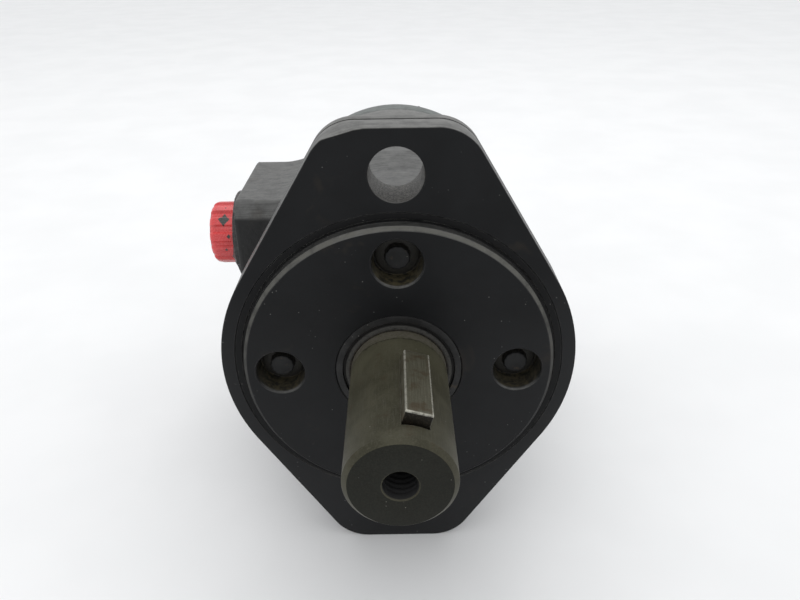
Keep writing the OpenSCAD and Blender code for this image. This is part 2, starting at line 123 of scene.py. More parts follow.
class Shell:
    """A closed mesh made of rings of points, walls between them and flat faces."""

    def __init__(self):
        self.points = []
        self.faces = []
        self.flat = []

    def ring(self, outline, y):
        """Adds the points of an outline at one height, or each at its own height."""
        start = len(self.points)
        heights = y if isinstance(y, list) else [y] * len(outline)
        self.points += [(x, height, z) for (x, z), height in zip(outline, heights)]
        return list(range(start, start + len(outline)))

    def rings(self, path, count=96, x=0.0, z=0.0):
        """Round rings from a path of (radius, y) points."""
        return [self.ring(circle(r, count, x, z), y) for r, y in path]

    def spun(self, path, count=96, x=0.0, z=0.0):
        return self.walls(self.rings(path, count, x, z))

    def point(self, x, y, z):
        self.points.append((x, y, z))
        return len(self.points) - 1

    def wall(self, first, second):
        count = len(first)
        for i in range(count):
            j = (i + 1) % count
            self.faces.append((first[i], first[j], second[j], second[i]))
            self.flat.append(False)

    def walls(self, rings):
        for first, second in zip(rings, rings[1:]):
            self.wall(first, second)
        return rings

    def fan(self, ring, y):
        """Closes a ring with a flat disc."""
        places = np.array([self.points[i] for i in ring])
        centre = self.point(places[:, 0].mean(), y, places[:, 2].mean())
        for i, start in enumerate(ring):
            self.faces.append((start, ring[(i + 1) % len(ring)], centre))
            self.flat.append(abs(places[0, 1] - y) < 1e-6)

    def face(self, outer, holes=()):
        """A flat face between an outer ring and the rings of its holes."""
        rings = [outer, *holes]
        ids = [i for ring in rings for i in ring]
        flat = [Vector((self.points[i][0], self.points[i][2])) for i in ids]
        edges = []
        start = 0
        for ring in rings:
            edges += [(start + k, start + (k + 1) % len(ring)) for k in range(len(ring))]
            start += len(ring)
        made = geometry.delaunay_2d_cdt(flat, edges, [], 0, 1e-7)
        for tri in made[2]:
            middle = sum((made[0][k] for k in tri), Vector((0, 0))) / 3
            inside = [self.holds(ring, middle) for ring in rings]
            if inside[0] and not any(inside[1:]):
                self.faces.append(tuple(ids[made[3][k][0]] for k in tri))
                self.flat.append(True)

    def holds(self, ring, spot):
        places = np.array([(self.points[i][0], self.points[i][2]) for i in ring])
        after = np.roll(places, -1, axis=0)
        crosses = (places[:, 1] > spot.y) != (after[:, 1] > spot.y)
        rise = np.where(after[:, 1] == places[:, 1], 1.0, after[:, 1] - places[:, 1])
        where = places[:, 0] + (spot.y - places[:, 1]) / rise * (after[:, 0] - places[:, 0])
        return np.count_nonzero(crosses & (spot.x < where)) % 2 == 1

    def build(self, name, sharp=40.0):
        mesh = bpy.data.meshes.new(name)
        mesh.from_pydata([Vector(p) * MM for p in self.points], [], self.faces)
        mesh.validate()
        piece = add_piece(name, mesh)
        mesh.polygons.foreach_set("use_smooth", [not flat for flat in self.flat])
        outward(mesh)
        mesh.set_sharp_from_angle(angle=radians(sharp))
        return piece


def add_piece(name, mesh):
    piece = bpy.data.objects.new(name, mesh)
    bpy.context.scene.collection.objects.link(piece)
    return piece


def outward(mesh):
    """Makes all the normals of a closed mesh point outwards."""
    work = bmesh.new()
    work.from_mesh(mesh)
    bmesh.ops.dissolve_degenerate(work, dist=1e-7, edges=work.edges)
    bmesh.ops.recalc_face_normals(work, faces=work.faces)
    work.to_mesh(mesh)
    work.free()
    mesh.update()


def arc(corner, before, after, radius, steps=4):
    """Points that round the corner of a two-point path."""
    a = (before - corner).normalized()
    b = (after - corner).normalized()
    half = a.angle(b) / 2
    if pi - 2 * half < radians(8):
        return [corner]
    reach = min(radius / tan(half), (before - corner).length * 0.49,
                (after - corner).length * 0.49)
    start = corner + a * reach
    end = corner + b * reach
    points = []
    for i in range(steps + 1):
        t = i / steps
        points.append(start * (1 - t) ** 2 + corner * 2 * t * (1 - t) + end * t ** 2)
    return points


def soften(path, radius, steps=4, closed=True):
    """A path of (radius, y) points with every corner rounded."""
    points = [Vector(p[:2]) for p in path]
    sizes = [p[2] if len(p) > 2 else radius for p in path]
    result = []
    for i, corner in enumerate(points):
        if not closed and i in (0, len(points) - 1):
            result.append(corner)
            continue
        result += arc(corner, points[i - 1], points[(i + 1) % len(points)], sizes[i], steps)
    return [tuple(p) for p in result]


def profile(path, radius, steps=3):
    """An open path with its corners rounded, without its two end points."""
    return soften(path, radius, steps, False)[1:-1]


def turned(name, path, radius=0.3, count=192):
    """A closed ring turned round the Y axis from a closed path of (radius, y) points."""
    shell = Shell()
    rings = shell.rings(soften(path, radius), count)
    shell.walls(rings + rings[:1])
    return shell.build(name)


def along_x(piece, centre_y, centre_z, base_x):
    """Turns a piece built round the Y axis so that its +Y looks to -X, at the given place."""
    turn = Matrix(((0, -1, 0, base_x * MM), (1, 0, 0, centre_y * MM),
                   (0, 0, 1, centre_z * MM), (0, 0, 0, 1)))
    piece.data.transform(turn)
    outward(piece.data)
    return piece


def joined(name, pieces):
    """One piece made of several closed meshes."""
    points, faces, smooth = [], [], []
    for piece in pieces:
        start = len(points)
        mesh = piece.data
        points += [v.co.copy() for v in mesh.vertices]
        faces += [tuple(start + i for i in p.vertices) for p in mesh.polygons]
        smooth += [p.use_smooth for p in mesh.polygons]
        bpy.data.objects.remove(piece)
    mesh = bpy.data.meshes.new(name)
    mesh.from_pydata(points, [], faces)
    mesh.polygons.foreach_set("use_smooth", smooth)
    mesh.update()
    mesh.set_sharp_from_angle(angle=radians(40))
    return add_piece(name, mesh)


def cut(piece, cutter):
    """Takes one closed mesh out of another."""
    tool = piece.modifiers.new("cut", "BOOLEAN")
    tool.operation = "DIFFERENCE"
    tool.solver = "EXACT"
    tool.object = cutter
    bpy.context.view_layer.update()
    made = piece.evaluated_get(bpy.context.evaluated_depsgraph_get())
    mesh = bpy.data.meshes.new_from_object(made)
    piece.modifiers.clear()
    piece.data = mesh
    bpy.data.objects.remove(cutter)
    return piece


def place(piece, body, slot, material, *nodes):
    """Gives a visual piece its material, hangs it under the empty of its body and hides the given
    CAD nodes.
    """
    piece.data.materials.clear()
    piece.data.materials.append(material)
    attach(piece, body)
    if nodes:
        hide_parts(*nodes)
    return piece


# ----- Materials -----
class Value:
    """The output of a node. Sums and products of values add the nodes that work them out."""

    def __init__(self, look, socket):
        self.look = look
        self.socket = socket

    def __add__(self, other):
        return self.look.math("ADD", self, other)

    def __sub__(self, other):
        return self.look.math("SUBTRACT", self, other)

    def __rsub__(self, other):
        return self.look.math("SUBTRACT", other, self)

    def __mul__(self, other):
        return self.look.math("MULTIPLY", self, other)

    def __truediv__(self, other):
        return self.look.math("DIVIDE", self, other)

    def __abs__(self):
        return self.look.math("ABSOLUTE", self)

    def step(self, low, high, start=0.0, end=1.0):
        """A smooth step from start to end as the value goes from low to high."""
        return self.look.node("MapRange", dict(enumerate((self, low, high, start, end))),
                              interpolation_type="SMOOTHSTEP")

    def within(self, low, high, soft=0.1):
        """A mask that is one between low and high."""
        return self.step(low - soft, low + soft) * self.step(high + soft, high - soft)


class Look:
    """One procedural material. Its methods add nodes and return their values."""

    def __init__(self, name):
        self.material = bpy.data.materials.new(name)
        self.material.use_nodes = True
        self.tree = self.material.node_tree
        self.color = None
        self.place = self.scaled(self.node("TexCoord", {}, "Object"), (1000, 1000, 1000))
        self.x, self.y, self.z = self.split(self.place)
        self.normal = self.node("NewGeometry", {}, "Normal")
        self.nx, self.ny, self.nz = self.split(self.normal)

    def feed(self, node, values):
        for socket, value in values.items():
            if isinstance(value, Value):
                self.tree.links.new(value.socket, node.inputs[socket])
            else:
                node.inputs[socket].default_value = value

    def node(self, kind, values, output=0, **settings):
        """Adds a node, sets it up, feeds its inputs and returns one of its outputs."""
        made = self.tree.nodes.new("ShaderNode" + kind)
        for name, value in settings.items():
            setattr(made, name, value)
        self.feed(made, values)
        return Value(self, made.outputs[output])

    def split(self, vector):
        parts = self.node("SeparateXYZ", {0: vector}).socket.node.outputs
        return [Value(self, part) for part in parts]

    def scaled(self, vector, size):
        return self.node("VectorMath", {0: vector, 1: size}, operation="MULTIPLY")

    def vector(self, x, y, z):
        return self.node("CombineXYZ", {0: x, 1: y, 2: z})

    def math(self, kind, a, b=0.0):
        return self.node("Math", {0: a, 1: b}, operation=kind)

    def noise(self, size, detail=3.0, rough=0.55, vector=None, distortion=0.0):
        """Noise whose features are about size millimetres across."""
        return self.node("TexNoise", {"Vector": vector or self.place, "Scale": 1 / size,
                                      "Detail": detail, "Roughness": rough,
                                      "Distortion": distortion}, "Fac")

    def streaks(self, sizes, detail=2.0, rough=0.5):
        """Noise drawn out to different lengths along X, Y and Z, given in millimetres."""
        return self.noise(1.0, detail, rough, self.scaled(self.place, [1 / s for s in sizes]))

    def cells(self, size):
        return self.node("TexVoronoi", {"Vector": self.place, "Scale": 1 / size}, "Distance")

    def mix(self, share, a, b):
        a, b = [c if isinstance(c, Value) else (*c, 1.0) for c in (a, b)]
        return self.node("Mix", {"Factor": share, 6: a, 7: b}, 2, data_type="RGBA")

    def coat(self, share, color):
        """Lays a colour over the present one."""
        self.color = self.mix(share, self.color, color)

    def blend(self, share, a, b):
        return self.node("Mix", {"Factor": share, 2: a, 3: b})

    def radius(self, x=0.0, z=0.0):
        """Distance from the line along Y through the given point."""
        dx = self.x - x
        dz = self.z - z
        return self.math("SQRT", dx * dx + dz * dz)

    def edges(self, size):
        """A mask of the outer and inner edges, size millimetres wide."""
        rounded = self.node("Bevel", {"Radius": size * MM}, samples=6)
        dot = self.node("VectorMath", {0: rounded, 1: self.normal}, "Value",
                        operation="DOT_PRODUCT")
        return (1.0 - dot).step(0.02, 0.25)

    def bump(self, height, depth, before=None):
        """A bump of the given depth in millimetres."""
        values = {"Strength": 1.0, "Distance": depth * MM, "Height": height}
        if before:
            values["Normal"] = before
        return self.node("Bump", values)

    def finish(self, rough, normal, metal=0.0, **fixed):
        values = {name.replace("_", " "): value for name, value in fixed.items()}
        values.update({"Base Color": self.color, "Roughness": rough, "Metallic": metal,
                       "Normal": normal})
        self.feed(self.tree.nodes["Principled BSDF"], values)
        return self.material


def dust_specks(look, amount=0.16):
    """A mask of single grains of dust."""
    grains = look.cells(1.7)
    where = look.noise(9.0, 2.0)
    return grains.step(amount * 0.6, amount * 0.3) * where.step(0.52, 0.6)


def black_paint(name, cast=0.0, turning=0.0, tint=(0.0056, 0.0059, 0.0065), gloss=0.4,
                shine=0.14, top_dust_and_light=(0.27, 0.268, 0.255), share=0.58, marks=None):
    """Satin black paint: cast skin, turning marks, fine scratches, dust and worn edges; up-facing
    faces are lighter, partly from settled dust and partly as painted light from above.
    """
    look = Look(name)
    side = 1.0 - abs(look.ny)
    patches = look.noise(26.0, 3.0, 0.6)
    fine = look.noise(0.7, 4.0, 0.7)
    lines = look.streaks((14.0, 0.32, 14.0), 3.0, 0.65)
    scratch = look.streaks((0.16, 9.0, 5.0), 2.0, 0.6)
    look.color = look.mix(patches.step(0.35, 0.68), tint, [c * 1.5 for c in tint])
    rim = side.step(0.6, 0.95) * lines.step(0.5, 0.62)
    look.coat(rim * 0.4, (0.06, 0.058, 0.053))
    # up-facing faces get a lighter film: partly settled dust, partly painted light from above
    upward = look.nz.step(0.15, 0.95)
    film = look.noise(3.1, 5.0, 0.75) * 0.5 + lines * 0.5
    film = upward * film.step(0.36, 0.62, 0.35, 1.0)
    look.coat(film * share, top_dust_and_light)
    brown = look.noise(12.0, 3.0, 0.6, distortion=0.6).step(0.6, 0.74)
    look.coat(brown * 0.3, (0.036, 0.028, 0.019))
    if marks:
        marks(look)
    worn = look.edges(0.5) * look.noise(2.4, 4.0, 0.7).step(0.3, 0.56)
    look.coat(worn * 0.8, (0.27, 0.265, 0.25))
    dust = dust_specks(look)
    look.coat(dust * 0.8, (0.2, 0.2, 0.19))
    rough = fine.step(0.3, 0.7, gloss - 0.05, gloss + 0.08)
    rough = look.blend(scratch.step(0.62, 0.7), rough, gloss + 0.2)
    rough = look.blend(film, rough, gloss + 0.1)
    height = fine * 0.35 + lines * (side * 0.5)
    if turning:
        rings = look.noise(0.5, 2.0, 0.6, look.vector(look.radius(), 0.0, 0.0))
        depth = side.step(0.3, 0.05) * turning
        height = height + rings * depth
    normal = look.bump(height, 0.018)
    if cast:
        skin = look.noise(1.5, 4.0, 0.62) + look.noise(4.5, 2.0) * 0.9
        normal = look.bump(skin, 0.14 * cast, normal)
    return look.finish(rough, normal, Specular_IOR_Level=shine)


def flange_marks(look):
    """Bolt holes with bare speckled walls, sunk holes with grime and painted light, painted shade
    and reflection, and the rubbed pilot rim.
    """
    radial = look.radius()
    fine = look.noise(0.45, 3.0, 0.8)
    holes = look.math("MINIMUM", look.radius(0, BOLT_Z), look.radius(0, -BOLT_Z))
    wall = holes.step(BOLT_R + 0.12, BOLT_R + 0.02) * look.y.step(0.1, 0.3)
    speckle = look.mix(fine.step(0.42, 0.62), (0.01, 0.009, 0.0075), (0.105, 0.099, 0.087))
    look.coat(wall, speckle)
    # sunk holes and bore: grime, lighter on up-facing walls and in noise patches; this is dirt
    # together with painted light and a painted highlight
    inner = look.y.step(PILOT_Y + 0.4, PILOT_Y + 1.4) * radial.step(PILOT_R - 2.0, PILOT_R - 2.4)
    inner = inner * look.nz.step(-0.2, 0.9, 0.35, 1.0)
    grime_and_highlight_patches = look.noise(1.6, 4.0, 0.7).step(0.36, 0.62)
    dirt_and_painted_light = look.mix(grime_and_highlight_patches, (0.016, 0.0155, 0.013), (0.075, 0.064, 0.038))
    look.coat(inner, dirt_and_painted_light)
    # painted reflection of the floor: the face outside the pilot is made lighter towards the bottom
    low_floor_reflection = look.z.step(34.0, -4.0) * radial.step(PILOT_R, PILOT_R + 2.0, 0.25, 0.65)
    look.coat(low_floor_reflection, (0.019, 0.0193, 0.0202))
    # rim of the pilot: rubbed paint that fades out towards the bottom, so partly wear and partly
    # painted light from above
    pilot_band_lit_from_top = radial.within(PILOT_R - 0.85, PILOT_R + 0.04, 0.05)
    pilot_band_lit_from_top = pilot_band_lit_from_top * look.y.step(PILOT_Y + 1.05, PILOT_Y + 0.9)
    pilot_band_lit_from_top = pilot_band_lit_from_top * look.z.step(-30.0, 38.0, 0.0, 0.8)
    # painted shade: the relief groove round the pilot is darkened
    groove = radial.within(PILOT_R - 0.1, PILOT_R + 2.6, 0.2)
    groove = groove * look.y.step(PILOT_Y + 1.1, PILOT_Y + 1.4)
    look.coat(groove * 0.8, (0.0036, 0.0037, 0.0039))
    rubbed = look.noise(3.0, 3.0, 0.6).step(0.3, 0.6, 0.45, 1.0)
    look.coat(pilot_band_lit_from_top * rubbed, (0.115, 0.113, 0.1))


def shaft_steel():
    """Dull brownish bare steel: turning marks, stains, scuffed root and worn edges."""
    look = Look("shaft_steel_film")
    radial = look.radius()
    face = abs(look.ny).step(0.8, 0.97)
    marks = look.noise(0.35, 3.0, 0.7, look.vector(0.0, look.y, 0.0))
    grain = look.streaks((0.22, 5.0, 0.22), 3.0, 0.65)
    cloud = look.noise(7.0, 4.0, 0.62, distortion=0.4)
    fine = look.noise(0.4, 4.0, 0.8)
    look.color = look.mix(cloud.step(0.34, 0.68), (0.034, 0.0322, 0.0195), (0.054, 0.0512, 0.0335))
    look.coat(grain.step(0.5, 0.7) * 0.7, (0.06, 0.057, 0.042))
    look.coat(fine.step(0.5, 0.66, 0.0, 0.45), (0.085, 0.08, 0.06))
    look.coat(fine.step(0.42, 0.3, 0.0, 0.5), (0.015, 0.0135, 0.009))
    # painted light: the shaft is made lighter towards the seal, against the shade that falls there
    painted_light_near_seal = look.y.step(-24.0, -8.0)
    look.coat(painted_light_near_seal * 0.4, (0.1, 0.095, 0.062))
    rust = look.noise(3.6, 5.0, 0.72).step(0.56, 0.72)
    look.coat(rust * 0.5, (0.04, 0.027, 0.014))
    ragged_y = look.y + look.noise(1.6, 3.0, 0.7) * 2.4
    root = ragged_y.step(SCUFF_Y + 0.9, SCUFF_Y + 1.5)
    patch = look.noise(0.9, 4.0, 0.75).step(0.38, 0.58, 0.25, 1.0)
    look.coat(root * (patch * 0.75), (0.11, 0.1, 0.083))
    edge = ragged_y.within(SCUFF_Y + 0.6, SCUFF_Y + 0.95, 0.15)
    look.coat(edge * 0.7, (0.012, 0.011, 0.009))
    look.coat(face * 0.92, look.mix(fine.step(0.38, 0.62), (0.0035, 0.0038, 0.0022),
                                    (0.0105, 0.011, 0.0078)))
    deep = radial.step(END_HOLE_R + 1.2, END_HOLE_R + 0.6) * look.y.step(SHAFT_Y + 0.1,
                                                                         SHAFT_Y + 0.5)
    look.coat(deep * 0.95, (0.036, 0.036, 0.037))
    worn = look.edges(0.35) * look.noise(1.8, 3.0).step(0.35, 0.6)
    worn = worn * (1.0 - deep)
    look.coat(worn * 0.7, (0.2, 0.19, 0.16))
    look.coat(dust_specks(look, 0.14), (0.2, 0.19, 0.17))
    rough = fine.step(0.3, 0.7, 0.4, 0.56)
    rough = look.blend(worn, rough, 0.3)
    height = marks * 0.5 + fine * 0.5
    normal = look.bump(height, 0.014)
    return look.finish(rough, normal, 0.15, Specular_IOR_Level=0.17)


def key_steel():
    """Bare drawn steel with brown stains and bright worn edges."""
    look = Look("key_bare_steel")
    turned_back = radians(KEY_TURN)
    sine, cosine = sin(turned_back), cos(turned_back)
    across = look.x * cosine - look.z * sine
    height_up = look.x * sine + look.z * cosine
    drawn = look.noise(1.0, 3.0, 0.6, look.vector(across * 4.0, look.y * 0.12, 0.0))
    cloud = look.noise(4.0, 4.0, 0.65)
    fine = look.noise(0.3, 4.0, 0.75)
    look.color = look.mix(drawn.step(0.3, 0.7), (0.058, 0.055, 0.036), (0.095, 0.09, 0.066))
    look.coat(fine.step(0.5, 0.66, 0.0, 0.4), (0.16, 0.152, 0.115))
    stain = cloud.step(0.5, 0.66)
    look.coat(stain * 0.6, (0.05, 0.032, 0.016))
    front = look.ny.step(-0.6, -0.9)
    look.coat(front * 0.95, look.mix(fine.step(0.45, 0.7), (0.006, 0.005, 0.0035),
                                     (0.03, 0.024, 0.016)))
    near_side = abs(across).step(KEY_W / 2 - 0.55, KEY_W / 2 - 0.25)
    near_front = look.y.step(key_low[1] + 0.6, key_low[1] + 0.3)
    rim = look.math("MAXIMUM", near_side, near_front) * height_up.step(KEY_TOP - 0.5,
                                                                       KEY_TOP - 0.25)
    worn = rim * look.noise(1.2, 4.0, 0.7).step(0.32, 0.6, 0.25, 1.0)
    look.coat(worn, (0.36, 0.35, 0.3))
    rough = fine.step(0.3, 0.7, 0.36, 0.52)
    rough = look.blend(worn, rough, 0.24)
    height = drawn * 0.6 + fine * 0.4
    return look.finish(rough, look.bump(height, 0.016), 0.35, Specular_IOR_Level=0.3)


def seal_rubber():
    """Matt rubber, rubbed light along its lip and dirty next to the shaft."""
    look = Look("seal_rubber_scuffed")
    radial = look.radius()
    fine = look.noise(0.6, 5.0, 0.75)
    look.color = look.mix(look.noise(4.0).step(0.35, 0.65), (0.007, 0.0068, 0.0066),
                          (0.014, 0.0135, 0.0125))
    lip = radial.within(13.3, 14.1, 0.15) * fine.step(0.3, 0.55)
    look.coat(lip * 0.6, (0.06, 0.058, 0.052))
    near = radial.step(13.4, 13.0) * fine.step(0.4, 0.6)
    look.coat(near * 0.6, (0.06, 0.05, 0.036))
    look.coat(dust_specks(look, 0.2), (0.3, 0.29, 0.27))
    rough = look.blend(fine, 0.5, 0.8)
    return look.finish(rough, look.bump(fine, 0.05), Specular_IOR_Level=0.2)


def plain_rubber():
    look = Look("oring_rubber_smooth")
    fine = look.noise(0.5, 4.0, 0.7)
    look.color = look.mix(look.noise(3.0), (0.012, 0.012, 0.013), (0.026, 0.026, 0.026))
    return look.finish(look.blend(fine, 0.4, 0.6), look.bump(fine, 0.02))


def dark_steel(name, tint=(0.028, 0.029, 0.031), metal=0.35, wear=0.75, gloss=0.38,
               collar=None):
    """Black oxide or painted steel of screws and plugs, bright on its corners."""
    look = Look(name)
    fine = look.noise(0.4, 4.0, 0.75)
    cloud = look.noise(3.5, 4.0, 0.6)
    look.color = look.mix(cloud.step(0.35, 0.65), tint, [c * 1.9 for c in tint])
    brown = look.noise(2.2, 4.0, 0.7).step(0.58, 0.72)
    look.coat(brown * 0.45, (0.06, 0.042, 0.024))
    if collar:
        # the collar behind the head is made lighter: dust, and painted light that lifts the shade
        # in the sunk hole
        dust_and_fill_light = look.y.step(collar, collar + 0.4) * fine.step(0.25, 0.6, 0.3, 0.75)
        look.coat(dust_and_fill_light, (0.036, 0.034, 0.029))
    worn = look.edges(0.3) * look.noise(1.1, 3.0).step(0.34, 0.6)
    look.coat(worn * wear, (0.3, 0.29, 0.27))
    look.coat(dust_specks(look, 0.14), (0.22, 0.22, 0.2))
    rough = fine.step(0.3, 0.7, gloss, gloss + 0.16)
    return look.finish(rough, look.bump(fine, 0.02), metal, Specular_IOR_Level=0.25)


def ground_steel():
    """Ground and oiled steel of the inner parts."""
    look = Look("ground_steel")
    color_a = (0.42, 0.42, 0.43)
    around = look.streaks((3.0, 0.2, 3.0), 3.0, 0.6)
    fine = look.noise(0.3, 4.0, 0.7)
    look.color = look.mix(around.step(0.3, 0.7), color_a, (0.56, 0.56, 0.57))
    oil = look.noise(6.0, 3.0, 0.6, distortion=0.5).step(0.5, 0.7)
    look.coat(oil * 0.35, [c * 0.55 for c in color_a])
    worn = look.edges(0.25)
    look.coat(worn * 0.5, (0.75, 0.74, 0.72))
    rough = fine.step(0.3, 0.7, 0.2, 0.36)
    height = around * 0.7 + fine * 0.3
    return look.finish(rough, look.bump(height, 0.006), 1.0)


def red_plastic():
    """Glossy red plastic with specks of black over-spray and a brown smear."""
    look = Look("cap_red_plastic")
    fine = look.noise(0.5, 4.0, 0.7)
    look.color = look.mix(look.noise(5.0).step(0.35, 0.65), (0.56, 0.04, 0.043),
                          (0.68, 0.06, 0.062))
    dy = look.y - PORT_A[0]
    dz = look.z - PORT_A[1]
    out = PORT_X - look.x
    near = out.step(5.0, 2.0)
    smear = near * look.noise(1.5, 4.0, 0.7).step(0.5, 0.62)
    look.coat(smear * 0.6, (0.16, 0.03, 0.025))
    low = dz.step(-5.0, -9.0)
    look.coat(low * 0.45, (0.3, 0.1, 0.085))
    for turn, at, wide, high in ((46, 5.8, 1.9, 2.3), (14, 4.2, 0.7, 0.8), (-12, 5.4, 0.6, 0.5)):
        sine, cosine = sin(radians(turn)), cos(radians(turn))
        along = dy * sine + dz * cosine
        facing = dz * sine - dy * cosine
        size = abs(out - at) / wide + abs(along) / high
        size = size + look.noise(0.9, 3.0, 0.7) * 0.8
        speck = size.step(1.45, 1.3) * facing.step(0.0, 2.0)
        look.coat(speck, (0.026, 0.033, 0.029))
    specks = look.cells(2.1).step(0.17, 0.12) * look.noise(4.0, 2.0).step(0.54, 0.6)
    look.coat(specks, (0.02, 0.018, 0.018))
    pale = look.edges(0.35) * look.noise(1.5).step(0.3, 0.6)
    look.coat(pale * 0.5, (0.8, 0.3, 0.25))
    rough = fine.step(0.3, 0.7, 0.2, 0.32)
    return look.finish(rough, look.bump(fine, 0.012), 0.0, Specular_IOR_Level=0.6)


def paint_flake():
    """The thick dried skin of black paint on the port cap's flange."""
    look = Look("paint_flake_black")
    lumps = look.noise(0.9, 5.0, 0.7)
    look.color = look.mix(lumps.step(0.35, 0.65), (0.012, 0.012, 0.013), (0.03, 0.028, 0.026))
    red = look.noise(1.6, 4.0, 0.7).step(0.62, 0.68)
    look.coat(red * 0.6, (0.2, 0.03, 0.025))
    worn = look.edges(0.25) * lumps.step(0.35, 0.55)
    look.coat(worn * 0.55, (0.16, 0.15, 0.13))
    return look.finish(look.blend(lumps, 0.3, 0.55), look.bump(lumps, 0.12))


def brass_cage():
    look = Look("cage_pressed_brass")
    fine = look.noise(0.4, 4.0, 0.7)
    look.color = look.mix(look.noise(4.0, 3.0), (0.5, 0.36, 0.13), (0.66, 0.5, 0.22))
    worn = look.edges(0.2)
    look.coat(worn * 0.5, (0.85, 0.72, 0.42))
    return look.finish(look.blend(fine, 0.25, 0.42), look.bump(fine, 0.01), 1.0)


def pale_floor():
    look = Look("studio_floor")
    soft = look.noise(60.0, 3.0)
    fine = look.noise(1.2, 4.0, 0.7)
    look.color = look.mix(soft.step(0.3, 0.7), (0.8, 0.803, 0.806), (0.83, 0.832, 0.835))
    return look.finish(0.7, look.bump(fine, 0.01))


FLANGE_PAINT = black_paint("flange_black_paint", turning=0.5, marks=flange_marks)
HOUSING_PAINT = black_paint("housing_black_paint", cast=1.0, tint=(0.0145, 0.0147, 0.0148),
                            gloss=0.46, shine=0.3, top_dust_and_light=(0.22, 0.22, 0.213), share=0.5)
RIM_PAINT = black_paint("rim_black_paint", tint=(0.017, 0.0172, 0.017), gloss=0.38, share=0.62)
CAP_PAINT = black_paint("end_cap_black_paint", cast=0.25, tint=(0.014, 0.0155, 0.015),
                        top_dust_and_light=(0.24, 0.262, 0.25), share=0.64)
SCREW_STEEL = dark_steel("screw_painted_steel", (0.0058, 0.006, 0.0062), 0.05, 0.2, 0.46,
                         HEAD_Y + 0.3)
REAR_STEEL = dark_steel("rear_screw_painted_steel", (0.012, 0.0122, 0.0126), 0.1, 0.75, 0.4)
PLUG_STEEL = dark_steel("plug_painted_steel", metal=0.15)
CASE_STEEL = dark_steel("seal_case_pressed_steel", (0.011, 0.011, 0.011), 0.1, 0.5)
THREAD_STEEL = dark_steel("port_thread_cut_iron", (0.09, 0.088, 0.084), 0.8, 0.8, 0.3)
SHAFT_STEEL = shaft_steel()
KEY_STEEL = key_steel()
SEAL_RUBBER = seal_rubber()
ORING_RUBBER = plain_rubber()
INNER_STEEL = ground_steel()
RED = red_plastic()
FLAKE = paint_flake()
BRASS = brass_cage()


# ----- Mounting flange -----
def flange_outline(inset):
    """Round middle, straight side, round corner and flat end, all the way round."""
    turn = radians(SIDE_A)
    size = FLANGE_D - inset
    corner_r = CORNER_R - inset
    corner_z = FLANGE_H - CORNER_R
    corner_x = (FLANGE_D - CORNER_R - corner_z * sin(turn)) / cos(turn)
    out = Vector(polar(1.0, turn))
    end = Vector((corner_x, corner_z)) + out * corner_r
    quarter = [polar(size, turn * i / 24) for i in range(24)]
    quarter += [tuple((out * size).lerp(end, i / 6) + out * 0.004 * sin(pi * i / 6))
                for i in range(6)]
    quarter += [polar(corner_r, turn + (pi / 2 - turn) * i / 24, corner_x, corner_z)
                for i in range(25)]
    quarter += [(corner_x * (1 - i / 4), FLANGE_H - inset + 0.002 * i - 0.008)
                for i in range(1, 4)]
    quarter.append((0.0, FLANGE_H - inset))
    upper = quarter + [(-x, z) for x, z in reversed(quarter[1:-1])] + [(-size, 0.0)]
    return upper + [(-x, -z) for x, z in upper[1:-1]]


def ground_corner(outline, y):
    """The upper left corner is ground off at a slant that runs out behind the front face."""
    turn = radians(16.2)
    limit = 64.02 + 0.2 * y
    result = []
    for x, z in outline:
        over = max(0.0, z * cos(turn) - x * sin(turn) - limit) if x < 0 < z else 0.0
        over *= 0.97
        result.append((x + over * sin(turn), z - over * cos(turn)))
    return result


